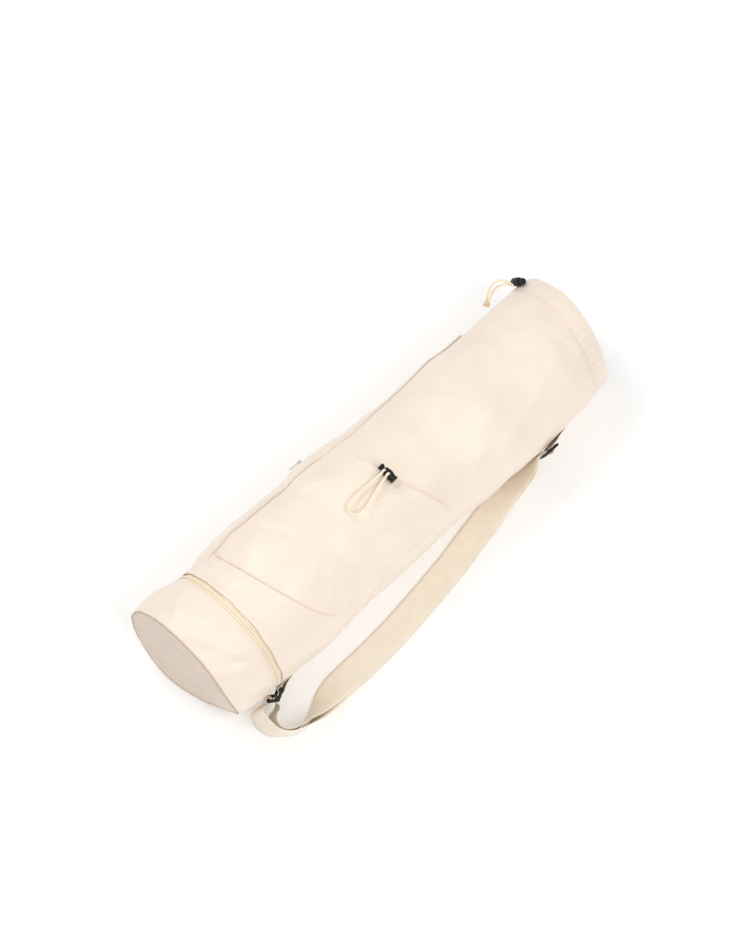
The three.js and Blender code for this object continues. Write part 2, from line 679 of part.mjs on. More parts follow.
function addCords() {
  const step = cordDiameter * 2;
  addPiece("pocket_cord", tube(pocketCordPoints, cordDiameter, step), cordFabric);
  addPiece("mouth_cord_outer", tube(mouthCordOuterPoints, cordDiameter, step), cordFabric);
  addPiece("mouth_cord_inner", tube(mouthCordInnerPoints, cordDiameter, step), cordFabric);
  const knot = addPiece("mouth_cord_knot", new THREE.SphereGeometry(knotRadius, 10, 7), cordFabric);
  knot.geometry.scale(1, 1, knotStretch);
  knot.position.set(...mouthKnotPlace);
}

const strapSeat = () => seatOn(strapSliderPlace, strapSliderAngle, strapSliderLift);
const ringSeat = () => seatOn(ringPlace, ringAngle, ringLift)
  .multiply(new THREE.Matrix4().makeRotationZ(degToRad(ringYaw)))
  .multiply(new THREE.Matrix4().makeRotationY(degToRad(ringTilt)));
const ringSlope = degToRad(ringBend);
const ringCrest = [ringLegA * Math.cos(ringSlope), ringLegA * Math.sin(ringSlope)];
const ringEnd = [ringCrest[0] + ringLegB * Math.cos(ringSlope), ringCrest[1] - ringLegB * Math.sin(ringSlope)];
const ringHug = ringBar / Math.SQRT2 + clearance + strapThickness / 2 + 0.2;

// Points round a bar of the ring, by angle from its outward leaning side
const aroundBar = (bar, angles) => angles.map((angle) => [
  bar[0] + ringHug * Math.cos(degToRad(angle)),
  bar[1] + ringHug * Math.sin(degToRad(angle)),
]);

function stationOnSkin(place, angle, lift) {
  const across = new THREE.Vector3().setFromMatrixColumn(seatOn(place, angle, lift), 0);
  return { centre: skin(place, angle, lift), across };
}

// Stations of a band in a fitting's own axes: towards the base, then outwards
function stationsOn(matrix, points) {
  const across = new THREE.Vector3().setFromMatrixColumn(matrix, 0);
  return points.map(([towardsBase, outwards]) => ({
    centre: new THREE.Vector3(0, towardsBase, outwards).applyMatrix4(matrix),
    across,
  }));
}

function stationsOf(rows) {
  return rows.map(({ along, out, up, topAlong, topOut }) => {
    const rise = Math.sqrt(Math.max(0, 1 - topAlong * topAlong - topOut * topOut));
    const across = new THREE.Vector3(topAlong, -topOut, rise);
    const lower = new THREE.Vector3((along - 0.5) * bagLength, -out * bodyRadius, up * bodyRadius);
    return { centre: lower.addScaledVector(across, strapWidth / 2), across };
  });
}

// Stations along a smooth curve, close together where it bends and far apart where it runs straight
function smoothStations(stations, bendStep, longStep) {
  const curve = new THREE.CatmullRomCurve3(stations.map(({ centre }) => centre), false, "centripetal");
  const last = stations.length - 1;
  const count = Math.round(curve.getLength());
  curve.arcLengthDivisions = count * 2;
  const fine = Array.from({ length: count + 1 }, (_, i) => {
    const t = curve.getUtoTmapping(i / count);
    const before = Math.min(Math.floor(t * last), last - 1);
    const across = stations[before].across.clone().lerp(stations[before + 1].across, t * last - before);
    return { centre: curve.getPoint(t), way: curve.getTangent(t), across: across.normalize() };
  });
  const kept = [fine[0]];
  for (const station of fine.slice(1, -1)) {
    const previous = kept[kept.length - 1];
    const turn = THREE.MathUtils.radToDeg(station.way.angleTo(previous.way) + station.across.angleTo(previous.across));
    const step = station.centre.distanceTo(previous.centre);
    if (turn > bendStep || step > longStep) kept.push(station);
  }
  return [...kept, fine[count]];
}

// From the anchor through the slider, over the floor to the ring and back to the slider's middle bar
function addStrap() {
  const slider = strapSeat();
  const ring = ringSeat();
  const sewn = seamGap + strapThickness / 2;
  const fromAnchor = [
    stationOnSkin(strapSliderPlace + 36, strapSliderAngle, sewn),
    stationOnSkin(strapSliderPlace + 26, strapSliderAngle, sewn + 0.6),
    ...stationsOn(slider, [
      [-17, -3.2],
      [-12.5, -2.9],
      [-9.2, -2.9],
      [-6.9, -2.3],
      [-5.4, -0.4],
      [-4.7, 1.7],
      [-3.5, 3.7],
      [-1.2, 4.2],
      [1.2, 4.2],
      [3.6, 3.9],
      [5.2, 2.1],
      [6.2, 0.1],
      [7.1, -2.3],
      [9.2, -2.8],
      [12.5, -2.8],
      [17, -2.5],
    ]),
  ];
  const aroundRing = stationsOn(ring, [
    ...aroundBar(ringEnd, [40, 15, -15, -45, -75, -105, -135, -165, -190]),
    [ringEnd[0] - ringHug - 0.7, ringEnd[1] + 5],
  ]);
  const backToSlider = stationsOn(slider, [
    [17, -4.3],
    [12.5, -4.5],
    [8.5, -4.5],
    [6.1, -3.8],
    [4.3, -1.7],
    [3.2, 0.2],
    [3.1, 1.2],
    [2.9, 2.2],
    [1.6, 2.7],
    [-1.6, 2.7],
    [-2.9, 2.2],
    [-3.15, 0.6],
    [-3.15, -0.8],
    [-2.85, -2.3],
    [-1.5, -2.7],
    [0.8, -2.7],
  ]);
  const route = [...fromAnchor, ...stationsOf(outerRunRows), ...aroundRing, ...stationsOf(innerRunRows), ...backToSlider];
  addPiece("strap", band(smoothStations(route, 11, 28), strapWidth, strapThickness), webbing);
}

function addStrapSlider() {
  const outline = new THREE.Shape();
  const halfLength = strapWidth / 2 + hardwareEnd;
  const half = strapSliderLength / 2;
  const corner = halfLength - 1;
  const bulge = halfLength + 2.5;
  outline.moveTo(-corner, -half);
  outline.lineTo(corner, -half);
  outline.quadraticCurveTo(bulge, 0, corner, half);
  outline.lineTo(-corner, half);
  outline.quadraticCurveTo(-bulge, 0, -corner, -half);
  const slotHalf = strapWidth / 2 + clearance * 2;
  for (const side of [-1, 1]) {
    const near = side * 2;
    const far = side * (2 + strapSlot);
    const slot = new THREE.Path();
    slot.moveTo(-slotHalf, near);
    slot.lineTo(slotHalf, near);
    slot.lineTo(slotHalf, far);
    slot.lineTo(-slotHalf, far);
    slot.closePath();
    outline.holes.push(slot);
  }
  const plate = new THREE.ExtrudeGeometry(outline, {
    depth: strapSliderThickness,
    bevelEnabled: false,
    curveSegments: 6,
  }).translate(0, 0, -strapSliderThickness / 2);
  seat(addPiece("strap_slider", plate, blackPlastic), strapSeat());
}

// Bent loop with two windows: the tab holds its first bar and the strap goes round its last
function addRing() {
  const length = strapWidth + 2 * (ringWindowMargin + hardwareEnd);
  const leg = (from, to) => {
    const run = Math.hypot(to[0] - from[0], to[1] - from[1]);
    const slope = Math.atan2(to[1] - from[1], to[0] - from[0]);
    const bar = block(length, run + ringBar, ringBar, 0, run / 2, 0);
    const window = block(strapWidth + 2 * ringWindowMargin, run - ringBar, ringBar * 3, 0, run / 2, 0);
    return cut(bar, window).rotateX(slope).translate(0, from[0], from[1]);
  };
  const ring = join(leg([0, 0], ringCrest), leg(ringCrest, ringEnd));
  seat(addPiece("strap_ring", ring, blackPlastic), ringSeat());
}

function addRingTab() {
  const low = seamGap + strapThickness / 2;
  const high = low + strapThickness + clearance;
  const foot = ringPlace + tabLength;
  const route = [
    stationOnSkin(foot, ringAngle, low),
    stationOnSkin(foot - tabLength / 2, ringAngle, low),
    ...stationsOn(ringSeat(), aroundBar([0, 0], [-90, -60, -30, 0, 30, 60, 90, 115, 140])),
    stationOnSkin(foot - tabLength / 4, ringAngle, high + 0.5),
    stationOnSkin(foot, ringAngle, high),
  ];
  addPiece("ring_tab", band(route, tabWidth, strapThickness), webbing);
}

addBody();
addShoeCup();
addBasePanel();
addShoeZip();
addSideZip();
addSideZipSlider();
addPlacket();
addMouthHem();
addPocket();
addCordLock("pocket", pocketEdge(pocketLockAngle, "top") - pocketLockInset, pocketLockAngle, 12);
addCordLock("mouth", bagLength - mouthLockInset, mouthLockAngle, 6.6, 2);
addCords();
addStrap();
addStrapSlider();
addRing();
addRingTab();

export default bag;
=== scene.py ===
# Looks of the yoga mat bag: soft cream nylon with folds, seams, zips, cords and webbing.
# Tables are in millimetres and degrees, as in the part's source; meshes are built in metres.

import math

import bpy
import numpy as np
from mathutils import Matrix, Vector


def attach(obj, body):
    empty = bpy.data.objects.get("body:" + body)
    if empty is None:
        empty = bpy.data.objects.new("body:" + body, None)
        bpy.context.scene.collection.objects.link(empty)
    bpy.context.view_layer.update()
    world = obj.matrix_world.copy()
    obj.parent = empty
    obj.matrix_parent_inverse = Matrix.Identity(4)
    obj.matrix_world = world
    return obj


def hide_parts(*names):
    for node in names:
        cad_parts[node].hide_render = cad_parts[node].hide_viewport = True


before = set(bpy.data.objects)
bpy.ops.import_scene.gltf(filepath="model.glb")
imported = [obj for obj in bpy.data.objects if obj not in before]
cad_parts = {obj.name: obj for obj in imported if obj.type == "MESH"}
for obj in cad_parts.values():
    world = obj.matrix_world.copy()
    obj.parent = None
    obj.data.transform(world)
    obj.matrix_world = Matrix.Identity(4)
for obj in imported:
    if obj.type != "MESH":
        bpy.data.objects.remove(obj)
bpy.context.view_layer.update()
scene = bpy.context.scene

MM = 0.001
ROOT = "bag"

# Camera, from the photograph
CAMERA_TARGET = (29.09, 35.42, 60.0)
CAMERA_BACK = (-0.3133, -0.3155, 0.8957)
CAMERA_RIGHT = (0.7096, -0.7046, 0.0)
CAMERA_DISTANCE = 4436.93
CAMERA_LENS = 134.33

# Bag: places are measured from the base along it, angles round it from the top towards the strap
LENGTH = 680
RADIUS = 92
REST_SAG = 3
CLOTH = 1.4
CUP_STITCHES = 62
CUP_EDGE = 67
ZIP_PLACE = 72
BODY_EDGE = 84
HEM_EDGE = 652
BASE_GATHER = 1.2

# Ends drawn in: depth, angle where it is deepest, power of its fall to both sides
BASE_TUCK = (19, 132, 3)
MOUTH_TUCK = (12, 70, 2)
MOUTH_TUCK_REACH = 62

# Zips and placket
ZIP_START = -128
ZIP_END = 100
SIDE_ZIP_ANGLE = -79
SIDE_ZIP_FIRST = 105
SIDE_ZIP_LAST = 548
SLIT_HALF = 2.33
PLACKET_EDGE = -74
TAPE_LIFT = -CLOTH - 0.5
TAPE_PAST = 8
SEWN_GAP = 0.25

# Mesh of the tube: degrees between columns, and rows along it
BODY_STEP = 2
BODY_ROWS = 240

# Folded edge of the body over the round zip
FLAP_REACH = 7.4
FLAP_LIFT = 0.9
FLAP_ROWS = 9

# Hem of the mouth
HEM_LAP = 3
HEM_ROLL = 1.35
MOUTH_GATHER = 2.4

# Coil of a zip
TOOTH_PITCH = 1.9
TOOTH_HEIGHT = 1.9
COIL_FOOT = -1.6

# Zip sliders: place, angle and lift of the middle of the base plate
SIDE_SLIDER = (289, SIDE_ZIP_ANGLE, 2)
ROUND_SLIDER = (ZIP_PLACE, ZIP_START + math.degrees(10 / RADIUS), 1.9)

# Cord locks: place, angle and lift of the barrel's axis
POCKET_LOCK = (330.5, 11, 12)
MOUTH_LOCK = (661, -54, 6.6)
BARREL_RADIUS = 6.2

# Girth of the filled bag: share of the length, radius and drift sideways as shares of RADIUS
GIRTH = np.array([
    (0.0, 0.985, 0.0),
    (0.05, 1.015, -0.03),
    (0.118, 1.0, -0.085),
    (0.235, 1.033, -0.076),
    (0.353, 0.993, -0.037),
    (0.44, 1.01, -0.052),
    (0.588, 0.95, -0.076),
    (0.706, 0.985, -0.115),
    (0.82, 0.965, -0.108),
    (0.94, 0.945, -0.075),
    (1.0, 0.895, -0.03),
])

# Dents and swells: share of the length, angle, reach, sweep in degrees, rise as a share of RADIUS
RELIEF = [
    (0.045, 60, 0.035, 40, 0.02),
    (0.07, -15, 0.03, 24, -0.014),
    (0.19, 55, 0.03, 30, -0.016),
    (0.3, 20, 0.045, 18, -0.018),
    (0.34, -22, 0.05, 16, 0.014),
    (0.42, 48, 0.05, 18, -0.016),
    (0.62, -20, 0.06, 25, 0.016),
    (0.72, 40, 0.05, 24, -0.014),
    (0.9, 70, 0.045, 34, 0.024),
    (0.11, 118, 0.06, 24, -0.038),
]

# Seam of the placket: share of the length, angle
PLACKET = np.array([(0.13, -50), (0.22, -46.5), (0.45, -45.5), (0.53, -48), (0.64, -58), (0.83, -67)])

# Pocket: its sides, its hem and its rough size
POCKET_LEFT = -44
POCKET_RIGHT = 73
POCKET_HEM = 17
POCKET_WIDTH = 188
POCKET_HEIGHT = 220

# Pocket: angle, lower seam and gathered top as shares of the length
POCKET = np.array([
    (POCKET_LEFT, 0.168, 0.4706),
    (-34, 0.165, 0.472),
    (-4, 0.172, 0.482),
    (17, 0.184, 0.4926),
    (40, 0.206, 0.52),
    (62, 0.236, 0.546),
    (POCKET_RIGHT, 0.266, 0.55),
])

# Soft creases pressed into the cloth: share of the length, angle, direction in degrees from the
# bag's length, half length and half width in millimetres, rise in millimetres
CREASES = [
    (0.035, 20, 60, 40, 9, 1.71),
    (0.06, 45, 25, 34, 8, -1.52),
    (0.075, 78, 70, 30, 7, 1.52),
    (0.05, -25, -40, 34, 8, 1.33),
    (0.03, 95, 40, 30, 8, 1.52),
    (0.16, 0, 75, 36, 9, 0.8),
    (0.15, 40, 62, 34, 8, -0.7),
    (0.2, 85, 20, 44, 8, 0.9),
    (0.33, 92, 8, 60, 7, 0.8),
    (0.4, 85, -15, 50, 8, -0.8),
    (0.52, 60, 35, 48, 9, 0.9),
    (0.55, 20, 55, 44, 10, -0.7),
    (0.58, 88, 12, 60, 8, 0.9),
    (0.66, 55, -20, 50, 9, -0.8),
    (0.68, -5, 62, 44, 12, 0.7),
    (0.76, 75, 18, 56, 9, 0.8),
    (0.84, 30, 50, 44, 11, 0.6),
    (0.88, 85, -25, 44, 8, -0.8),
    (0.93, 10, 72, 40, 9, 0.6),
    (0.9, -35, 40, 40, 9, 0.6),
    (0.24, 30, 30, 30, 7, 0.8),
    (0.27, -12, 68, 34, 8, -0.7),
    (0.33, 45, 22, 34, 7, 0.9),
    (0.37, -28, 35, 34, 8, 0.8),
    (0.4, 15, 75, 30, 8, -0.7),
    (0.43, 58, 40, 32, 7, 0.9),
]

# Places kept calm under a fitting: place, angle, reach in millimetres
CALM = [
    (322, 11, 26),
    (296, 17, 44),
    (664, -54, 26),
    (SIDE_SLIDER[0], SIDE_ZIP_ANGLE, 16),
    (84, 119, 34),
    (565, 113, 34),
]

# Heights of the undulation by its coarseness, and a scale for the table of creases
FOLD_BROAD = 1.25
FOLD_RIDGE = 1.3
FOLD_CRUMB = 0.16
CREASE_SCALE = 1.5

# Light: place and size in metres, power in watts
KEY_LIGHT = ((-0.25, -1.6, 2.1), 1.6, 24)
BACK_LIGHT = ((-0.4, 1.35, 2.4), 1.4, 24)
LIGHT_COLOR = (1.0, 0.99, 0.98)
LIGHT_TARGET = (0, 0, 0.08)
WORLD_STRENGTH = 0.62
PAPER_GLOW = 0.14
FLOOR_HALF = 8000


def read_table(table, at, column):
    """Smooth reading of one column, as in the part's source"""
    keys = table[:, 0]
    values = table[:, column]
    last = len(keys) - 1
    at = np.asarray(at, float)
    i = np.clip(np.searchsorted(keys, at, side="left") - 1, 0, last - 1)
    before = np.maximum(i - 1, 0)
    after = np.minimum(i + 2, last)
    span = keys[i + 1] - keys[i]
    t = np.clip((at - keys[i]) / span, 0, 1)
    slope_start = (values[i + 1] - values[before]) / (keys[i + 1] - keys[before]) * span
    slope_end = (values[after] - values[i]) / (keys[after] - keys[i]) * span
    rise = values[i + 1] - values[i]
    curve = slope_end + slope_start - 2 * rise
    return values[i] + t * (slope_start + t * (3 * rise - 2 * slope_start - slope_end + t * curve))


def relief(share, angle):
    height = np.zeros(np.broadcast(share, angle).shape)
    for along, around, reach, sweep, rise in RELIEF:
        height += rise * RADIUS * np.exp(-((share - along) / reach) ** 2 - ((angle - around) / sweep) ** 2)
    return height


def waves(x, y, wavelength, count, seed):
    """Smooth random undulation between about -1 and 1"""
    source = np.random.default_rng(seed)
    total = np.zeros(np.broadcast(x, y).shape)
    for _ in range(count):
        turn = source.uniform(0, math.pi)
        size = wavelength * source.uniform(0.7, 1.5)
        phase = source.uniform(0, 2 * math.pi)
        total += np.sin(2 * math.pi * (x * math.cos(turn) + y * math.sin(turn)) / size + phase)
    return total / math.sqrt(count)


def folds(place, angle):
    """Soft folds of the filled cloth, in millimetres"""
    arc = np.radians(angle) * RADIUS
    bent = 16 * waves(place, arc, 150, 4, 11)
    broad = waves(place + bent, arc - bent, 120, 6, 3)
    ridge = np.sqrt(waves(0.7 * place - bent, arc + 0.6 * bent, 95, 4, 5) ** 2 + 0.004)
    crumb = np.sqrt(waves(place + 0.5 * bent, 1.2 * arc - bent, 34, 5, 8) ** 2 + 0.01)
    height = FOLD_BROAD * broad - FOLD_RIDGE * np.minimum(ridge, 1.5) - FOLD_CRUMB * np.minimum(crumb, 1.5)
    for along, around, way, half_length, half_width, rise in CREASES:
        dx = place - along * LENGTH
        dy = arc - math.radians(around) * RADIUS
        cos, sin = math.cos(math.radians(way)), math.sin(math.radians(way))
        run = (dx * cos + dy * sin) / half_length
        aside = (dy * cos - dx * sin) / half_width
        height += CREASE_SCALE * rise * np.exp(-run ** 2 - aside ** 2) * np.cos(1.2 * aside)
    calm = np.zeros(height.shape)
    for at, around, reach in CALM:
        far = ((place - at) ** 2 + (arc - math.radians(around) * RADIUS) ** 2) / reach ** 2
        calm = np.maximum(calm, np.exp(-far ** 2))
    return (height + 0.4) * (1 - calm)


def tuck_at(depth, deepest, power, angle):
    return depth * np.maximum(0, np.cos(np.radians(angle - deepest))) ** power


def drawn_in(place, angle):
    """Shift along the bag, from where its ends are drawn in"""
    near_base = np.clip(1 - place / CUP_EDGE, 0, 1)
    near_mouth = np.clip(1 - (HEM_EDGE - place) / MOUTH_TUCK_REACH, 0, 1)
    return tuck_at(*BASE_TUCK, angle) * near_base - tuck_at(*MOUTH_TUCK, angle) * near_mouth


def skin(place, angle, lift, folded=True):
    """Points on the bag, lifted off its outer face, with the underside pressed on the floor"""
    place, angle, lift = np.broadcast_arrays(
        np.asarray(place, float), np.asarray(angle, float), np.asarray(lift, float))
    share = place / LENGTH
    girth = RADIUS * read_table(GIRTH, share, 1)
    sideways = RADIUS * read_table(GIRTH, share, 2)
    radius = girth + relief(share, angle) + lift
    if folded:
        radius = radius + folds(place, angle)
    turn = np.radians(angle)
    floor = np.maximum(0, -lift)
    height = np.maximum(girth - REST_SAG + radius * np.cos(turn), floor)
    along = place - LENGTH / 2 + drawn_in(place, angle)
    return np.stack([along, sideways - radius * np.sin(turn), height], -1)


def seat_on(place, angle, lift):
    """Axes of a fitting on the bag, as columns: round it, towards the base, outwards, and its place"""
    turn = math.radians(angle)
    where = skin(place, angle, lift, folded=False)
    seat = np.eye(4)
    seat[:3, 0] = (0, math.cos(turn), math.sin(turn))
    seat[:3, 1] = (-1, 0, 0)
    seat[:3, 2] = (0, -math.sin(turn), math.cos(turn))
    seat[:3, 3] = where
    return seat


def smooth_step(x, low, high):
    t = np.clip((x - low) / (high - low), 0, 1)
    return t * t * (3 - 2 * t)


def unit(v):
    return v / np.linalg.norm(v, axis=-1, keepdims=True)


# Meshes

def make_object(name, vertices, faces, uv=None, smooth=True):
    mesh = bpy.data.meshes.new(name)
    points = (np.asarray(vertices, float) * MM).tolist()
    mesh.from_pydata(points, [], [list(map(int, face)) for face in faces])
    if uv is not None:
        layer = mesh.uv_layers.new(name="UVMap")
        corners = np.empty(len(mesh.loops), np.int32)
        mesh.loops.foreach_get("vertex_index", corners)
        layer.data.foreach_set("uv", np.asarray(uv, np.float32)[corners].ravel())
    mesh.polygons.foreach_set("use_smooth", [smooth] * len(mesh.polygons))
    mesh.update()
    made = bpy.data.objects.new(name, mesh)
    scene.collection.objects.link(made)
    return made


def grid_faces(rows, columns, close_rows=False, close_columns=False, keep=None):
    i = np.arange(rows if close_rows else rows - 1)
    j = np.arange(columns if close_columns else columns - 1)
    i, j = np.meshgrid(i, j, indexing="ij")
    if keep is not None:
        wanted = keep(i, j)
        i, j = i[wanted], j[wanted]
    i, j = i.ravel(), j.ravel()
    i1, j1 = (i + 1) % rows, (j + 1) % columns
    return np.stack([i * columns + j, i * columns + j1, i1 * columns + j1, i1 * columns + j], 1)


def grid_object(name, points, uv=None, close_rows=False, close_columns=False, keep=None, flip=False):
    rows, columns = points.shape[:2]
    faces = grid_faces(rows, columns, close_rows, close_columns, keep)
    if flip:
        faces = faces[:, ::-1]
    used = np.unique(faces)
    numbers = np.full(rows * columns, -1)
    numbers[used] = np.arange(len(used))
    flat_uv = None if uv is None else uv.reshape(-1, 2)[used]
    return make_object(name, points.reshape(-1, 3)[used], numbers[faces], flat_uv)


def thicken(piece, thickness):
    solid = piece.modifiers.new("thickness", "SOLIDIFY")
    solid.thickness = thickness * MM
    solid.offset = -1
    solid.use_even_offset = False
    return piece


def finished(piece, material, slot_name, *replaced, body=ROOT):
    piece.data.materials.append(material)
    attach(piece, body)
    if replaced:
        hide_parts(*replaced)
    return piece


# Materials

def new_material(name, color, roughness, metallic=0.0):
    material = bpy.data.materials.new(name)
    material.use_nodes = True
    nodes = material.node_tree.nodes
    shader = nodes["Principled BSDF"]
    shader.inputs["Base Color"].default_value = (*color, 1)
    shader.inputs["Roughness"].default_value = roughness
    shader.inputs["Metallic"].default_value = metallic
    return material, nodes, material.node_tree.links, shader


def add_noise(nodes, links, scale, detail=3.0):
    place = nodes.new("ShaderNodeTexCoord")
    noise = nodes.new("ShaderNodeTexNoise")
    noise.inputs["Scale"].default_value = scale
    noise.inputs["Detail"].default_value = detail
    links.new(place.outputs["Object"], noise.inputs["Vector"])
    return noise.outputs["Fac"]


def add_bump(nodes, links, shader, height, strength, distance, previous=None):
    bump = nodes.new("ShaderNodeBump")
    bump.inputs["Strength"].default_value = strength
    bump.inputs["Distance"].default_value = distance * MM
    links.new(height, bump.inputs["Height"])
    if previous is not None:
        links.new(previous, bump.inputs["Normal"])
    links.new(bump.outputs["Normal"], shader.inputs["Normal"])
    return bump.outputs["Normal"]


def add_wave(nodes, links, direction, period):
    """Ridges across the millimetre UV map"""
    place = nodes.new("ShaderNodeTexCoord")
    wave = nodes.new("ShaderNodeTexWave")
    wave.wave_type = "BANDS"
    wave.bands_direction = direction
    wave.wave_profile = "SIN"
    wave.inputs["Scale"].default_value = math.pi / (10 * period)
    links.new(place.outputs["UV"], wave.inputs["Vector"])
    return wave.outputs["Fac"]


def add_mix(nodes, links, shader, factor, low, high):
    ramp = nodes.new("ShaderNodeValToRGB")
    ramp.color_ramp.elements[0].position = 0.3
    ramp.color_ramp.elements[1].position = 0.7
    ramp.color_ramp.elements[0].color = (*low, 1)
    ramp.color_ramp.elements[1].color = (*high, 1)
    links.new(factor, ramp.inputs["Fac"])
    links.new(ramp.outputs["Color"], shader.inputs["Base Color"])


def cloth_material(name, color, roughness=0.5, sheen=0.25):
    material, nodes, links, shader = new_material(name, color, roughness)
    shader.inputs["Sheen Weight"].default_value = sheen
    shader.inputs["Sheen Roughness"].default_value = 0.4
    darker = tuple(c * 0.955 for c in color)
    add_mix(nodes, links, shader, add_noise(nodes, links, 26, 2.0), darker, color)
    warp = add_bump(nodes, links, shader, add_wave(nodes, links, "X", WEAVE), 0.25, 0.06)
    weft = add_bump(nodes, links, shader, add_wave(nodes, links, "Y", WEAVE), 0.25, 0.06, warp)
    add_bump(nodes, links, shader, add_noise(nodes, links, 70, 3.0), 0.16, 0.9, weft)
    return material


def webbing_material(name, color):
    material, nodes, links, shader = new_material(name, color, 0.78)
    shader.inputs["Sheen Weight"].default_value = 0.2
    darker = tuple(c * 0.95 for c in color)
    ribs = add_wave(nodes, links, "X", 1.5)
    rows = add_wave(nodes, links, "Y", 1.1)
    add_mix(nodes, links, shader, add_noise(nodes, links, 60, 3.0), darker, color)
    first = add_bump(nodes, links, shader, ribs, 0.35, 0.35)
    add_bump(nodes, links, shader, rows, 0.3, 0.25, first)
    return material


def cord_material(name, color):
    material, nodes, links, shader = new_material(name, color, 0.7)
    darker = tuple(c * 0.9 for c in color)
    braid = add_wave(nodes, links, "DIAGONAL", 1.2)
    # Braid grooves painted darker in step with the braid bump: painted shade in the grooves
    add_mix(nodes, links, shader, braid, darker, color)
    add_bump(nodes, links, shader, braid, 0.5, 0.3)
    return material


def plastic_material(name, color):
    material, nodes, links, shader = new_material(name, color, 0.5)
    shader.inputs["Specular IOR Level"].default_value = 0.3
    add_bump(nodes, links, shader, add_noise(nodes, links, 700, 2.0), 0.12, 0.08)
    return material


def metal_material(name, color):
    material, nodes, links, shader = new_material(name, color, 0.28, 1.0)
    add_bump(nodes, links, shader, add_noise(nodes, links, 500, 2.0), 0.05, 0.05)
    return material


WEAVE = 0.7
SHELL = cloth_material("shell_fabric", (0.90, 0.775, 0.66), 0.42, 0.2)
# Base disc: a darker copy of the shell cloth, painted shade for the panel that faces away from the light
SHADED_BASE = cloth_material("base_fabric", (0.74, 0.61, 0.505), 0.62, 0.2)
# Seam ridge and stitches round the base: dark brown, painted shade of the seam line between cup and base
SHADED_SEAM = cloth_material("seam_edge_painted_shade", (0.62, 0.47, 0.36), 0.7, 0.1)
ZIP = cloth_material("zip_cloth", (0.92, 0.80, 0.61), 0.7, 0.1)
THREAD = cloth_material("thread", (0.86, 0.69, 0.52), 0.7, 0.1)
PALE_THREAD = cloth_material("pale_thread", (0.90, 0.775, 0.65), 0.6, 0.1)
WEBBING = webbing_material("webbing", (0.985, 0.89, 0.735))
CORD = cord_material("cord", (0.97, 0.87, 0.66))
# Knot: the same cord in a darker, browner copy of its colour, painted shade in the knot
SHADED_KNOT_CORD = cord_material("knot_cord_painted_shade", (0.90, 0.68, 0.46))
PLASTIC = plastic_material("black_plastic", (0.010, 0.010, 0.011))
METAL = metal_material("silver_metal", (0.80, 0.79, 0.77))


def puckers(angle, period, seed, sharp=1.0):
    """Gathers round the bag, between 0 and 1"""
    drift = 0.9 * waves(angle, angle * 0, 40, 4, seed)
    return (0.5 + 0.5 * np.cos(2 * math.pi * angle / period + 2.2 * drift)) ** sharp


def angles_with(step, *marks):
    count = round(360 / step)
    values = np.linspace(-180, 180, count + 1)[:-1]
    for mark in marks:
        values[np.argmin(np.abs(values - mark))] = mark
    return np.sort(values)


def uv_of(place, angle):
    place, angle = np.broadcast_arrays(place, angle)
    return np.stack([np.radians(angle) * RADIUS, place], -1)


def flap_reach(angle):
    """How far the body's folded edge hangs over the round zip"""
    start = smooth_step(angle, ZIP_START - 1, ZIP_START + 12)
    end = smooth_step(-angle, -ZIP_END - 1, -ZIP_END + 9)
    return FLAP_REACH * start * end * (1 + 0.09 * waves(angle, angle * 0, 34, 5, 24))


def base_gathers(angle):
    return BASE_GATHER * puckers(angle, 11, 31)


def mouth_lift(place, angle):
    """Gathers and the sewn valley at the drawstring channel"""
    low_side = 0.12 + np.exp(-((angle - 72) / 40) ** 2)
    near = np.exp(-((place - HEM_EDGE - 2) / 15) ** 2)
    gather = -MOUTH_GATHER * low_side * near * puckers(angle, 7.2, 22, 1.4)
    return gather - 0.2 * low_side * np.exp(-((place - HEM_EDGE) / 2.5) ** 2)


def make_body():
    """Cloth tube, with a folded edge over the round zip and gathers at the mouth"""
    first, last = SIDE_ZIP_ANGLE - SLIT_HALF, SIDE_ZIP_ANGLE + SLIT_HALF
    angles = angles_with(BODY_STEP, first, last)
    places = np.linspace(BODY_EDGE, HEM_EDGE + HEM_LAP, BODY_ROWS)
    places[np.argmin(np.abs(places - SIDE_ZIP_FIRST))] = SIDE_ZIP_FIRST
    places[np.argmin(np.abs(places - SIDE_ZIP_LAST))] = SIDE_ZIP_LAST
    flap = flap_reach(angles)
    over = np.linspace(1, 0, FLAP_ROWS + 1)[:-1]
    place = np.concatenate([BODY_EDGE - over[:, None] * flap, places[:, None] + 0 * angles])
    angle = np.broadcast_to(angles, place.shape)
    near_zip = np.exp(-np.maximum(0, place - BODY_EDGE) / 22)
    near_flap = smooth_step(flap, 0, FLAP_REACH)
    gathers = near_zip * puckers(angle, 9, 21) * smooth_step(place, BODY_EDGE - 6, BODY_EDGE + 6)
    raised = smooth_step(BODY_EDGE + 5 - place, 0, 9)
    ripple = waves(angle, place * 0, 17, 4, 23) * smooth_step(BODY_EDGE + 8 - place, 0, 12)
    under_hem = smooth_step(place, HEM_EDGE + 0.05, HEM_EDGE + 1.2)
    lift = near_flap * (FLAP_LIFT * raised + 0.35 * ripple) - 0.7 * gathers
    lift = lift + mouth_lift(place, angle) - 1.5 * under_hem
    points = skin(place, angle, lift)

    def keep(i, j):
        in_slit = (angles[j] >= first) & (angles[j] < last)
        rows = np.concatenate([np.zeros(FLAP_ROWS), places])
        slit = in_slit & (rows[i] >= SIDE_ZIP_FIRST) & (rows[i] < SIDE_ZIP_LAST)
        closed = np.minimum(flap[j], flap[(j + 1) % len(flap)]) < 0.3
        return ~(slit | ((i < FLAP_ROWS) & closed))

    body = grid_object("body", points, uv_of(place, angle), close_columns=True, keep=keep)
    thicken(body, CLOTH)
    return finished(body, SHELL, "shell_fabric", "body_tube")


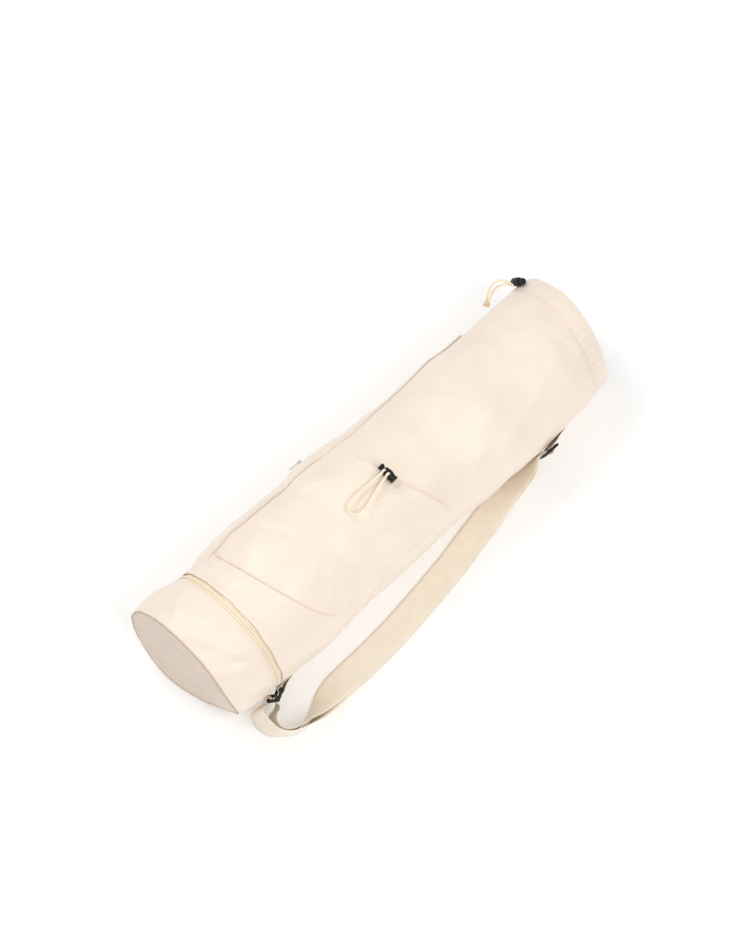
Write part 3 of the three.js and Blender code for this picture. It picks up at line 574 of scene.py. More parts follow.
def make_cup():
    angles = angles_with(BODY_STEP, ZIP_START, ZIP_END)
    places = np.concatenate([np.linspace(0, CUP_EDGE, 30), np.linspace(CUP_EDGE, BODY_EDGE - 0.3, 8)[1:]])
    place, angle = np.meshgrid(places, angles, indexing="ij")
    near_base = np.exp(-place / 14)
    near_zip = np.exp(-np.abs(CUP_EDGE - place) / 12)
    lift = -near_base * base_gathers(angle) - 0.6 * near_zip * puckers(angle, 9, 32)
    lift = lift - 1.2 * np.exp(-(place / 2.2) ** 2)
    lift = lift - 0.9 * np.exp(-((place - CUP_EDGE) / 1.8) ** 2)
    lift = lift - 0.5 * np.exp(-((place - CUP_STITCHES) / 1.2) ** 2)
    points = skin(place, angle, lift)

    def keep(i, j):
        under_zip = (angles[j] >= ZIP_START) & (angles[j] < ZIP_END)
        return (places[i] < CUP_EDGE - 0.01) | ~under_zip

    cup = grid_object("cup", points, uv_of(place, angle), close_columns=True, keep=keep)
    thicken(cup, CLOTH)
    return finished(cup, SHELL, "shell_fabric", "shoe_cup")


def base_rim(angle, place, lift):
    """Points just inside the drawn-in end of the cup"""
    return skin(place, angle, lift - 0.8 * base_gathers(angle))


def make_base():
    angles = angles_with(BODY_STEP)
    shares = np.linspace(0.03, 1, 40)
    share, angle = np.meshgrid(shares, angles, indexing="ij")
    rim = base_rim(angles, 0.9, -CLOTH - 0.4)
    middle = rim.mean(axis=0)
    points = middle + (rim[None] - middle) * share[..., None]
    points[..., 0] = middle[0] + (rim[None, :, 0] - middle[0]) * share ** 1.6
    wide = waves(points[..., 1], points[..., 2], 70, 5, 41)
    small = waves(points[..., 1], points[..., 2], 24, 5, 42)
    crumple = 0.9 * wide + 0.35 * small
    points[..., 0] += (crumple - 0.8) * (1 - share ** 5) + 0.5 * share ** 10
    points[..., 0] = np.maximum(points[..., 0], -LENGTH / 2 - 1)
    centre = points[0].mean(axis=0)
    flat = np.concatenate([points.reshape(-1, 3), centre[None]])
    faces = grid_faces(*share.shape, close_columns=True)[:, ::-1].tolist()
    columns = len(angles)
    faces += [(j, (j + 1) % columns, len(flat) - 1) for j in range(columns)]
    base = make_object("base", flat, faces, flat[:, 1:])
    thicken(base, 1.2)
    # The base disc's darker colour is painted shade
    return finished(base, SHADED_BASE, "base_fabric", "base_panel")


def make_base_seam():
    """Sewn ridge round the base panel, coloured dark brown as painted shade of the seam line"""
    angles = angles_with(1.0)
    turns = np.linspace(0, 2 * math.pi, 9)[:-1]
    turn, angle = np.meshgrid(turns, angles, indexing="ij")
    size = 1.0 + 0.15 * waves(angle, angle * 0, 20, 4, 43)
    place = 0.6 - size * np.cos(turn) * 0.8
    points = base_rim(angle, place, -CLOTH - 0.1 + size * np.sin(turn))
    uv = uv_of(place, angle)
    seam = grid_object("base_seam", points, uv, close_rows=True, close_columns=True, flip=True)
    return finished(seam, SHADED_SEAM, "base_fabric")


def make_hem():
    """Drawstring channel: goes on from the body, over the rim and back inside"""
    angles = angles_with(1.2)
    outer = np.linspace(0, LENGTH - HEM_EDGE - HEM_ROLL, 22)
    turns = np.radians(np.linspace(90, -90, 9)[1:-1])
    offset = np.concatenate([outer, outer[-1] + HEM_ROLL * np.cos(turns), outer[::-1]])
    lift = np.concatenate([outer * 0, HEM_ROLL * (np.sin(turns) - 1), outer * 0 - 2 * HEM_ROLL])
    offset, angle = np.meshgrid(offset, angles, indexing="ij")
    place = HEM_EDGE + offset
    channel = 0.7 * np.sin(math.pi * np.clip(offset / (LENGTH - HEM_EDGE), 0, 1)) ** 2
    points = skin(place, angle, lift[:, None] + mouth_lift(place, angle) + channel)
    hem = grid_object("hem", points, uv_of(place, angle), close_rows=True, close_columns=True)
    smooth_by_angle(hem, 50)
    return finished(hem, SHELL, "shell_fabric", "mouth_hem")


# Zips

def make_tape(name, node, places, angles):
    place, angle = np.meshgrid(places, angles, indexing="ij")
    tape = grid_object(name, skin(place, angle, TAPE_LIFT), uv_of(place, angle))
    thicken(tape, 0.7)
    return finished(tape, ZIP, "zip_cloth", node)


def tooth_height(along, across):
    """Two rows of coil teeth that meet in the middle"""
    row = np.where(across > 0, 0.5, 0.0)
    tooth = 0.5 + 0.5 * np.cos(2 * math.pi * (along / TOOTH_PITCH + row))
    crown = np.sqrt(np.maximum(0, 1 - np.abs(across) ** 3))
    seam = 1 - 0.45 * np.exp(-(across / 0.12) ** 2)
    return (0.55 + 0.45 * tooth) * crown * seam


def make_coil(name, node, place, angle, along, across):
    lift = COIL_FOOT + TOOTH_HEIGHT * tooth_height(along, across)
    coil = grid_object(name, skin(place, angle, lift), uv_of(place, angle))
    thicken(coil, 0.6)
    return finished(coil, ZIP, "zip_cloth", node)


def make_zips():
    angles = np.linspace(ZIP_START, ZIP_END, 150)
    make_tape("round_tape", "shoe_zip_tape", np.linspace(60, 91, 16), angles)
    places = np.linspace(SIDE_ZIP_FIRST - TAPE_PAST, SIDE_ZIP_LAST + TAPE_PAST, 120)
    angles = np.linspace(SIDE_ZIP_ANGLE - 8, SIDE_ZIP_ANGLE + 8, 14)
    make_tape("side_tape", "side_zip_tape", places, angles)

    sides = np.linspace(-1, 1, 9)
    angles = np.linspace(ZIP_START + 0.6, ZIP_END - 0.6, 900)
    across, angle = np.meshgrid(sides, angles, indexing="ij")
    arc = np.radians(angle) * RADIUS
    make_coil("round_coil", "shoe_zip_coil", ZIP_PLACE + 2.5 * across, angle, arc, across)
    places = np.linspace(SIDE_ZIP_FIRST + 0.5, SIDE_ZIP_LAST - 0.5, 980)
    place, across = np.meshgrid(places, sides, indexing="ij")
    make_coil("side_coil", "side_zip_coil", place, SIDE_ZIP_ANGLE + 1.55 * across, place, across)


def make_placket():
    """Flap beside the side zip"""
    places = np.linspace(BODY_EDGE + 5, SIDE_ZIP_LAST + 12, 150)
    shares = np.linspace(0, 1, 15)
    place, share = np.meshgrid(places, shares, indexing="ij")
    seam = read_table(PLACKET, place / LENGTH, 1) - 0.3
    angle = seam + (PLACKET_EDGE - seam) * share
    ripple = 0.45 * waves(place, share * 30, 34, 5, 51) * share
    raised = smooth_step(place, BODY_EDGE, BODY_EDGE + 45)
    ridge = 0.3 * np.exp(-((share - 0.06) / 0.05) ** 2)
    sunk = 2 * smooth_step(BODY_EDGE + 24 - place, 0, 18) + 0.9 * np.exp(-(share / 0.03) ** 2)
    lift = SEWN_GAP + CLOTH + raised * (0.25 + 0.5 * share ** 2 + ripple + ridge) - sunk
    placket = grid_object("placket", skin(place, angle, lift), uv_of(place, angle), flip=True)
    thicken(placket, CLOTH - 0.2)
    return finished(placket, SHELL, "shell_fabric", "side_placket")


# Pocket: a loose sheet, gathered along its top beside the lock

def pocket_edge(angle, column):
    return LENGTH * read_table(POCKET, angle, column)


def pocket_place(share, angle):
    bottom = pocket_edge(angle, 1)
    return bottom + (pocket_edge(angle, 2) - bottom) * share


def pocket_aside(angle):
    """Share of the way across the pocket"""
    return (angle - POCKET_LEFT) / (POCKET_RIGHT - POCKET_LEFT)


def pocket_lift(share, angle):
    """Lift of the pocket's inner face: puffed, held at its seams, gathered beside the lock"""
    height = pocket_edge(angle, 2) - pocket_edge(angle, 1)
    below = (1 - share) * height
    aside = pocket_aside(angle)
    lift = 0.1 + 2.8 * np.sin(math.pi * np.clip(aside, 0, 1)) ** 0.8 * np.minimum(1, 3 * share)
    left = smooth_step(-angle, 2, 30)
    lift = lift - left * 1.5 * np.exp(-below / 30)
    gather = smooth_step(angle, 13, 24) * smooth_step(-angle, -74, -62)
    pleats = puckers(angle + 0.05 * below, 5.6, 61, 1.3)
    band = np.exp(-((below - 17) / 13) ** 2) + 0.5 * np.exp(-(below / 7) ** 2)
    low = 0.35 * puckers(angle, 9, 62) * np.exp(-share * height / 12)
    sides = 0.5 * np.cos(below / 5.5) * (np.exp(-aside / 0.05) + np.exp(-(1 - aside) / 0.05))
    seam = -0.4 * np.exp(-((below - POCKET_HEM) / 1.6) ** 2) * gather
    uneven = 0.6 + 0.4 * waves(angle, 0 * angle, 16, 4, 63)
    return lift + 0.95 * gather * pleats * uneven * band + low + sides + seam


def make_pocket():
    angles = np.linspace(POCKET_LEFT, POCKET_RIGHT, 240)
    shares = np.concatenate([np.linspace(0, 0.85, 120), np.linspace(0.85, 1, 50)[1:]])
    share, angle = np.meshgrid(shares, angles, indexing="ij")
    place = pocket_place(share, angle)
    aside = pocket_aside(angle)
    edge = np.minimum(np.minimum(aside, 1 - aside) * POCKET_WIDTH, share * POCKET_HEIGHT)
    sewn = -0.5 * np.exp(-(edge / 0.8) ** 2) + 0.45 * np.exp(-((edge - 2.4) / 1.4) ** 2)
    points = skin(place, angle, pocket_lift(share, angle) + CLOTH + sewn)
    pocket = grid_object("pocket", points, uv_of(place, angle))
    thicken(pocket, CLOTH)
    return finished(pocket, SHELL, "shell_fabric", "front_pocket")


# Rows of stitches: short rounded threads that follow a line on the bag
STITCH_PITCH = 3.4
STITCH_SIDES = 6


def make_stitches(name, line, material, length=2.5, radius=0.28):
    line = np.asarray(line, float)
    steps = np.linalg.norm(np.diff(line, axis=0), axis=1)
    run = np.concatenate([[0], np.cumsum(steps)])
    middles = (np.arange(int(run[-1] / STITCH_PITCH)) + 0.5) * STITCH_PITCH
    ends = np.linspace(-0.5, 0.5, 5)
    sizes = radius * np.array((0.35, 0.9, 1.0, 0.9, 0.35))
    turns = np.arange(STITCH_SIDES) * 2 * math.pi / STITCH_SIDES
    one = grid_faces(len(ends), STITCH_SIDES, close_columns=True)
    vertices, faces = [], []
    for middle in middles:
        at = middle + ends * length
        path = np.stack([np.interp(at, run, line[:, k]) for k in range(3)], -1)
        way = unit(path[-1] - path[0])
        side = unit(np.cross(way, (0.3, 0.1, 0.95)))
        up = np.cross(side, way)
        ring = np.cos(turns)[:, None] * side + np.sin(turns)[:, None] * up
        faces.extend(one + len(vertices))
        vertices.extend((path[:, None] + sizes[:, None, None] * ring).reshape(-1, 3))
    return finished(make_object(name, vertices, faces), material, "shell_fabric")


def on_pocket(share, angle, proud):
    return skin(pocket_place(share, angle), angle, pocket_lift(share, angle) + CLOTH + proud)


def make_all_stitches():
    angles = np.linspace(POCKET_LEFT + 1, POCKET_RIGHT - 1, 300)
    height = pocket_edge(angles, 2) - pocket_edge(angles, 1)
    make_stitches("pocket_low_stitches", on_pocket(2.6 / height, angles, 0.4), THREAD)
    hem = on_pocket(1 - POCKET_HEM / height, angles, 0.1)[angles > 14]
    make_stitches("pocket_hem_stitches", hem, PALE_THREAD)
    shares = np.linspace(0.02, 0.9, 260)
    for name, angle in (("left", POCKET_LEFT + 1.4), ("right", POCKET_RIGHT - 1.6)):
        make_stitches(f"pocket_{name}_stitches", on_pocket(shares, angle, 0.4), THREAD)
    places = np.linspace(BODY_EDGE + 6, SIDE_ZIP_LAST + 10, 500)
    seam = read_table(PLACKET, places / LENGTH, 1) - 1.6
    make_stitches("placket_stitches", skin(places, seam, CLOTH + 0.95), THREAD)
    zip_angles = np.linspace(ZIP_START + 2, ZIP_END - 2, 400)
    make_stitches("cup_zip_stitches", skin(CUP_STITCHES, zip_angles, -0.25), PALE_THREAD)
    full = np.linspace(-180, 180, 900)
    mouth = skin(HEM_EDGE + 1.5, full, mouth_lift(HEM_EDGE, full))
    make_stitches("mouth_stitches", mouth, PALE_THREAD, 2.6, 0.14)
    # Base stitches in the dark seam colour: painted shade along the seam line
    make_stitches("base_stitches", base_rim(full, -0.5, -CLOTH + 0.2), SHADED_SEAM)


# Webbing

def catmull(points, t_values, alpha=0.5):
    """Centripetal curve through the points; t runs from 0 at the first to n - 1 at the last"""
    p = np.asarray(points, float)
    first = 2 * p[0] - p[1]
    final = 2 * p[-1] - p[-2]
    p = np.vstack([first, p, final])
    out = []
    for t in t_values:
        i = min(int(t), len(p) - 4)
        u = t - i
        p0, p1, p2, p3 = p[i:i + 4]
        d1, d2, d3 = (max(np.linalg.norm(b - a), 1e-6) ** alpha for a, b in ((p0, p1), (p1, p2), (p2, p3)))
        t1 = (p1 - p0) / d1 - (p2 - p0) / (d1 + d2) + (p2 - p1) / d2
        t2 = (p2 - p1) / d2 - (p3 - p1) / (d2 + d3) + (p3 - p2) / d3
        m1, m2 = t1 * d2, t2 * d2
        c2 = -3 * p1 + 3 * p2 - 2 * m1 - m2
        c3 = 2 * p1 - 2 * p2 + m1 + m2
        out.append(p1 + m1 * u + c2 * u * u + c3 * u ** 3)
    return np.array(out)


def even_t(points, step):
    """Curve parameters about a step apart along the curve"""
    last = len(points) - 1
    fine_t = np.linspace(0, last, last * 40 + 1)
    fine = catmull(points, fine_t)
    run = np.concatenate([[0], np.cumsum(np.linalg.norm(np.diff(fine, axis=0), axis=1))])
    count = max(2, round(run[-1] / step))
    return np.interp(np.linspace(0, run[-1], count + 1), run, fine_t), run[-1]


def station(centre, across):
    return np.asarray(centre, float), np.asarray(across, float)


def station_on_skin(place, angle, lift):
    seat = seat_on(place, angle, lift)
    return station(seat[:3, 3], seat[:3, 0])


def stations_on(seat, points):
    return [station(seat[:3, :3] @ (0, y, z) + seat[:3, 3], seat[:3, 0]) for y, z in points]


def stations_of(rows):
    made = []
    for along, out, up, top_along, top_out in rows:
        rise = math.sqrt(max(0, 1 - top_along ** 2 - top_out ** 2))
        across = np.array((top_along, -top_out, rise))
        lower = np.array(((along - 0.5) * LENGTH, -out * RADIUS, up * RADIUS))
        made.append(station(lower + across * STRAP_WIDTH / 2, across))
    return made


def ribbon_points(stations, width, thickness, step):
    """Closed cross-sections of a webbing ribbon along smooth stations, with their UV map"""
    centres = np.array([s[0] for s in stations])
    acrosses = np.array([s[1] for s in stations])
    t, length = even_t(centres, step)
    centre = catmull(centres, t)
    across = unit(catmull(acrosses, t))
    way = unit(np.gradient(centre, axis=0))
    normal = unit(np.cross(way, across))
    run = np.linspace(0, length, len(t))
    half, thin = width / 2, thickness / 2
    columns = np.linspace(-1, 1, 15)
    edge = np.minimum(1, (1 - np.abs(columns)) * 8 + 0.35)
    outline = [(c * half, e * thin) for c, e in zip(columns, edge)]
    outline += [(c * half, -e * thin) for c, e in zip(columns[::-1], edge[::-1])]
    outline = np.array(outline)
    aside, out = outline[:, 0], outline[:, 1]
    points = (centre[:, None] + across[:, None] * aside[None, :, None]
              + normal[:, None] * out[None, :, None])
    sunk = np.maximum(0, -points[..., 2].min(axis=1))
    points[..., 2] += sunk[:, None]
    uv = np.stack(np.broadcast_arrays(aside[None, :], run[:, None]), -1)
    return points, uv


def bent_round_bag(points, uv, angle, weight):
    """Edges of a ribbon brought down to the bag where it is sewn"""
    turn = math.radians(angle)
    outwards = np.array((0, -math.sin(turn), math.cos(turn)))
    drop = weight * uv[..., 0] ** 2 / (2 * RADIUS)
    return points - drop[..., None] * outwards


def make_ribbon(name, node, stations, width, step, angle, sewn):
    """Ribbon along the stations, sewn to the bag at an angle round it where sewn is 1"""
    points, uv = ribbon_points(stations, width, STRAP_THICKNESS, step)
    points = bent_round_bag(points, uv, angle, sewn(uv[..., 1]))
    return finished(swept_object(name, points, uv), WEBBING, "webbing", node)


def cap_faces(rows, columns):
    """Faces that close the first and last sections of a swept piece"""
    faces = []
    for start, turn in ((0, 1), ((rows - 1) * columns, -1)):
        for j in range(columns // 2 - 1):
            quad = (start + j, start + columns - 1 - j, start + columns - 2 - j, start + j + 1)
            faces.append(quad[::turn])
    return faces


def swept_object(name, points, uv):
    """Piece swept along its rows, closed round and at both ends"""
    rows, columns = points.shape[:2]
    faces = grid_faces(rows, columns, close_columns=True).tolist() + cap_faces(rows, columns)
    return make_object(name, points.reshape(-1, 3), faces, uv.reshape(-1, 2))


# Strap, ring and tab; the slider and the ring by their place, angle and lift
STRAP_WIDTH = 38
STRAP_THICKNESS = 1.2
STRAP_SLIDER = (544, 113, 6)
RING = (79, 119, 6.5)
RING_YAW = 16
RING_TILT = 3
RING_LEG_A = 12.5
RING_LEG_B = 11
RING_BEND = 30
RING_BAR = 4.2
WINDOW_MARGIN = 1.6
HARDWARE_END = 3.6
TAB_WIDTH = 36
TAB_LENGTH = 18
RING_HUG = RING_BAR / math.sqrt(2) + 0.3 + STRAP_THICKNESS / 2 + 0.2

# Strap on the floor, from the slider to the ring and back: lower edge as shares of LENGTH and RADIUS
# (along, out, up), then how far the upper edge stands off along and outwards, as shares of the width
OUTER_RUN = [
    (0.757, 0.943, 0.25, 0, 0.62),
    (0.735, 0.89, 0.15, 0, 0.77),
    (0.691, 0.815, 0.042, 0, 0.95),
    (0.647, 0.85, 0.012, 0, 0.996),
    (0.591, 0.915, 0.011, 0, 1),
    (0.535, 0.995, 0.011, 0, 1),
    (0.488, 1.045, 0.011, 0, 1),
    (0.438, 1.09, 0.011, 0, 1),
    (0.369, 1.145, 0.011, 0, 1),
    (0.319, 1.172, 0.011, 0, 1),
    (0.265, 1.182, 0.011, 0, 1),
    (0.199, 1.2, 0.011, 0, 0.985),
    (0.169, 1.295, 0.011, 0, 0.87),
    (0.14, 1.42, 0.011, -0.05, 0.6),
    (0.112, 1.5, 0.011, -0.06, 0.3),
    (0.089, 1.464, 0.011, -0.02, 0.26),
    (0.071, 1.37, 0.011, 0.06, 0.31),
    (0.0545, 1.25, 0.013, 0.2, 0.35),
    (0.0486, 1.1, 0.026, 0.26, 0.4),
    (0.0505, 0.97, 0.06, 0.22, 0.42),
    (0.058, 0.875, 0.12, 0.1, 0.42),
]
INNER_RUN = [
    (0.1, 1, 0.15, -0.15, 0.4),
    (0.091, 1.03, 0.11, -0.06, 0.42),
    (0.076, 1.045, 0.08, 0.06, 0.42),
    (0.0635, 1.1, 0.05, 0.18, 0.4),
    (0.06, 1.2, 0.035, 0.18, 0.35),
    (0.066, 1.3, 0.03, 0.1, 0.31),
    (0.079, 1.385, 0.03, 0.03, 0.29),
    (0.0973, 1.43, 0.03, -0.03, 0.28),
    (0.118, 1.425, 0.03, -0.05, 0.36),
    (0.14, 1.36, 0.03, -0.03, 0.6),
    (0.169, 1.25, 0.03, 0, 0.86),
    (0.199, 1.185, 0.03, 0, 0.97),
    (0.265, 1.165, 0.03, 0, 1),
    (0.319, 1.155, 0.03, 0, 1),
    (0.369, 1.13, 0.03, 0, 1),
    (0.438, 1.075, 0.03, 0, 1),
    (0.488, 1.03, 0.03, 0, 1),
    (0.535, 0.98, 0.03, 0, 1),
    (0.591, 0.9, 0.03, 0, 1),
    (0.647, 0.83, 0.032, 0, 0.996),
    (0.691, 0.793, 0.062, 0, 0.95),
    (0.735, 0.869, 0.174, 0, 0.77),
    (0.757, 0.916, 0.268, 0, 0.62),
]

ring_slope = math.radians(RING_BEND)
RING_CREST = (RING_LEG_A * math.cos(ring_slope), RING_LEG_A * math.sin(ring_slope))
RING_END = (RING_CREST[0] + RING_LEG_B * math.cos(ring_slope),
            RING_CREST[1] - RING_LEG_B * math.sin(ring_slope))


def ring_seat():
    yaw, tilt = math.radians(RING_YAW), math.radians(RING_TILT)
    turn = Matrix.Rotation(yaw, 4, "Z") @ Matrix.Rotation(tilt, 4, "Y")
    return seat_on(*RING) @ np.array(turn)


def around_bar(bar, angles):
    turns = [math.radians(a) for a in angles]
    return [(bar[0] + RING_HUG * math.cos(t), bar[1] + RING_HUG * math.sin(t)) for t in turns]


def strap_route():
    """The strap's one ribbon: sewn end, slider, floor, ring, floor and back round the slider's bar"""
    place, angle, _ = STRAP_SLIDER
    sewn = 0.5 + STRAP_THICKNESS / 2
    through = [
        (-17, -3.2), (-12.5, -2.9), (-9.2, -2.9), (-6.9, -2.3), (-5.4, -0.4), (-4.7, 1.7), (-3.5, 3.7),
        (-1.2, 4.2), (1.2, 4.2), (3.6, 3.9), (5.2, 2.1), (6.2, 0.1), (7.1, -2.3), (9.2, -2.8),
        (12.5, -2.8), (17, -2.5),
    ]
    back = [
        (17, -4.3), (12.5, -4.5), (8.5, -4.5), (6.1, -3.8), (4.3, -1.7), (3.2, 0.2), (3.1, 1.2),
        (2.9, 2.2), (1.6, 2.7), (-1.6, 2.7), (-2.9, 2.2), (-3.15, 0.6), (-3.15, -0.8), (-2.85, -2.3),
        (-1.5, -2.7), (0.8, -2.7),
    ]
    along, out = RING_END
    at_ring = around_bar(RING_END, (40, 15, -15, -45, -75, -105, -135, -165, -190))
    at_ring.append((along - RING_HUG - 0.7, out + 5))
    anchor = [station_on_skin(place + 36, angle, sewn), station_on_skin(place + 26, angle, sewn + 0.6)]
    slider = seat_on(*STRAP_SLIDER)
    leaving = anchor + stations_on(slider, through) + stations_of(OUTER_RUN)
    return leaving + stations_on(ring_seat(), at_ring) + stations_of(INNER_RUN) + stations_on(slider, back)


def tab_route():
    place, angle, _ = RING
    low = 0.2 + STRAP_THICKNESS / 2
    high = low + STRAP_THICKNESS + 0.1
    foot = place + TAB_LENGTH
    route = [station_on_skin(foot, angle, low), station_on_skin(foot - TAB_LENGTH / 2, angle, low)]
    route += stations_on(ring_seat(), around_bar((0, 0), (-90, -60, -30, 0, 30, 60, 90, 115, 140)))
    route += [station_on_skin(foot - TAB_LENGTH / 4, angle, high + 0.5), station_on_skin(foot, angle, high)]
    return route


def strap_sewn(run):
    return 1 - smooth_step(run, 12, 28)


def tab_sewn(run):
    return smooth_step(np.abs(run - run.max() / 2), 9, 17)


def make_straps():
    make_ribbon("strap_webbing", "strap", strap_route(), STRAP_WIDTH, 2, STRAP_SLIDER[1], strap_sewn)
    make_ribbon("tab_webbing", "ring_tab", tab_route(), TAB_WIDTH, 1, RING[1], tab_sewn)


# Hard pieces

def place_by(piece, seat):
    matrix = Matrix(seat.tolist())
    matrix.translation *= MM
    piece.matrix_world = matrix
    bpy.context.view_layer.update()
    return piece


def lathe(name, profile, sides=48):
    """Turned solid round X: profile rows are (radius, along)"""
    turns = np.linspace(0, 2 * math.pi, sides, endpoint=False)
    rows = [[(x, r * math.cos(t), r * math.sin(t)) for t in turns] for r, x in profile]
    return grid_object(name, np.array(rows), close_columns=True, flip=True)


def rounded_profile(corners, radius=0.5, steps=4):
    """Profile with each inner corner rounded"""
    made = [corners[0]]
    for before, corner, after in zip(corners, corners[1:], corners[2:]):
        before, corner, after = (np.array(p, float) for p in (before, corner, after))
        back, ahead = before - corner, after - corner
        reach = min(radius, np.linalg.norm(back) / 2.2, np.linalg.norm(ahead) / 2.2)
        start = corner + unit(back) * reach
        end = corner + unit(ahead) * reach
        for s in np.linspace(0, 1, steps):
            made.append(tuple((1 - s) ** 2 * start + 2 * s * (1 - s) * corner + s ** 2 * end))
    return made + [corners[-1]]


def make_lock(prefix, place, angle, lift, turn):
    """Cord lock: barrel with a bore, and the sprung button in it"""
    seat = seat_on(place, angle, lift) @ np.array(Matrix.Rotation(turn, 4, "Z"))
    barrel = [(0.02, -12.5), (5.5, -12.5), (5.5, -10.5), (4.6, -9.8), (5.3, -7), (BARREL_RADIUS, -2),
              (5.5, 2.4), (4.9, 6), (3.3, 6), (3.3, -4.2), (0.02, -4.2)]
    body = lathe(f"{prefix}_lock_barrel", rounded_profile(barrel, 0.7))
    finished(place_by(body, seat), PLASTIC, "black_plastic", f"{prefix}_cord_lock")
    knob = [(0.02, -1.0), (3.0, -1.0), (3.0, 9.3), (4.5, 9.3), (4.5, 13), (0.02, 13)]
    button = lathe(f"{prefix}_lock_knob", rounded_profile(knob, 0.9))
    return finished(place_by(button, seat), PLASTIC, "black_plastic", f"{prefix}_lock_button",
                    body=f"{prefix}_button")


def plate(name, outlines, thickness, bevel):
    """Flat plate with holes, its outlines in millimetres, and rounded edges"""
    curve = bpy.data.curves.new(name, "CURVE")
    curve.dimensions = "2D"
    curve.fill_mode = "BOTH"
    curve.extrude = (thickness / 2 - bevel) * MM
    curve.bevel_depth = bevel * MM
    curve.bevel_resolution = 3
    curve.offset = -bevel * MM
    for outline in outlines:
        spline = curve.splines.new("POLY")
        spline.points.add(len(outline) - 1)
        for point, (x, y) in zip(spline.points, outline):
            point.co = (x * MM, y * MM, 0, 1)
        spline.use_cyclic_u = True
    holder = bpy.data.objects.new(name, curve)
    scene.collection.objects.link(holder)
    bpy.context.view_layer.update()
    graph = bpy.context.evaluated_depsgraph_get()
    mesh = bpy.data.meshes.new_from_object(holder.evaluated_get(graph))
    bpy.data.objects.remove(holder)
    made = bpy.data.objects.new(name, mesh)
    scene.collection.objects.link(made)
    return made


def rounded_box_outline(half_x, half_y, radius, steps=5, middle=(0, 0)):
    points = []
    for quarter, (sx, sy) in enumerate(((1, 1), (-1, 1), (-1, -1), (1, -1))):
        for s in np.linspace(0, 90, steps):
            turn = math.radians(90 * quarter + s)
            points.append((middle[0] + sx * (half_x - radius) + radius * math.cos(turn),
                           middle[1] + sy * (half_y - radius) + radius * math.sin(turn)))
    return points


def fuse(name, *pieces):
    """Join pieces into one mesh in their common place"""
    vertices, faces = [], []
    for piece in pieces:
        start = len(vertices)
        vertices.extend(piece.matrix_basis @ v.co for v in piece.data.vertices)
        faces.extend(tuple(start + k for k in p.vertices) for p in piece.data.polygons)
        bpy.data.objects.remove(piece)
    mesh = bpy.data.meshes.new(name)
    mesh.from_pydata(vertices, [], faces)
    mesh.update()
    made = bpy.data.objects.new(name, mesh)
    scene.collection.objects.link(made)
    return made


def smooth_by_angle(piece, degrees=40):
    bpy.context.view_layer.objects.active = piece
    for other in bpy.context.selected_objects:
        other.select_set(False)
    piece.select_set(True)
    bpy.ops.object.shade_smooth_by_angle(angle=math.radians(degrees))
    piece.select_set(False)
    return piece


def make_strap_slider():
    half_length = STRAP_WIDTH / 2 + HARDWARE_END
    half, corner = 12.5, half_length - 1
    shares = np.linspace(0, 1, 13)
    right = [(corner + 3.5 * 2 * s * (1 - s), -half + 2 * half * s) for s in shares]
    left = [(-x, -y) for x, y in right]
    outline = right + left
    slot_half = STRAP_WIDTH / 2 + 0.6
    slots = [rounded_box_outline(slot_half, 3.25, 1.0, middle=(0, side * 5.25)) for side in (-1, 1)]
    slider = plate("slider_plate", [outline, *slots], 3.0, 0.8)
    place_by(slider, seat_on(*STRAP_SLIDER))
    smooth_by_angle(slider)
    return finished(slider, PLASTIC, "black_plastic", "strap_slider")


def make_ring():
    half = STRAP_WIDTH / 2 + WINDOW_MARGIN + HARDWARE_END
    window = STRAP_WIDTH / 2 + WINDOW_MARGIN
    legs = []
    for start, end in (((0, 0), RING_CREST), (RING_CREST, RING_END)):
        run = math.dist(start, end)
        slope = math.atan2(end[1] - start[1], end[0] - start[0])
        outer = rounded_box_outline(half, run / 2 + RING_BAR / 2, 1.8, middle=(0, run / 2))
        inner = rounded_box_outline(window, run / 2 - RING_BAR / 2, 1.0, middle=(0, run / 2))
        leg = plate("ring_leg", [outer, inner], RING_BAR, 1.2)
        shift = Matrix.Translation((0, start[0] * MM, start[1] * MM))
        leg.matrix_basis = shift @ Matrix.Rotation(slope, 4, "X")
        legs.append(leg)
    bpy.context.view_layer.update()
    ring = fuse("ring_frame", *legs)
    place_by(ring, ring_seat())
    smooth_by_angle(ring)
    return finished(ring, PLASTIC, "black_plastic", "strap_ring")


def block(name, half, middle, bevel=0.3):
    """Bevelled block"""
    x, y, z = half
    outline = rounded_box_outline(x, y, min(bevel * 1.6, x, y), middle=middle[:2])
    made = plate(name, [outline], 2 * z, min(bevel, z * 0.9))
    made.matrix_basis = Matrix.Translation((0, 0, middle[2] * MM))
    return made


def rod(name, radius, length, middle, sides=24):
    half = length / 2
    profile = [(0.02, -half), (radius, -half), (radius, half), (0.02, half)]
    made = lathe(name, rounded_profile(profile, 0.25), sides)
    made.matrix_basis = Matrix.Translation(Vector(middle) * MM)
    return made


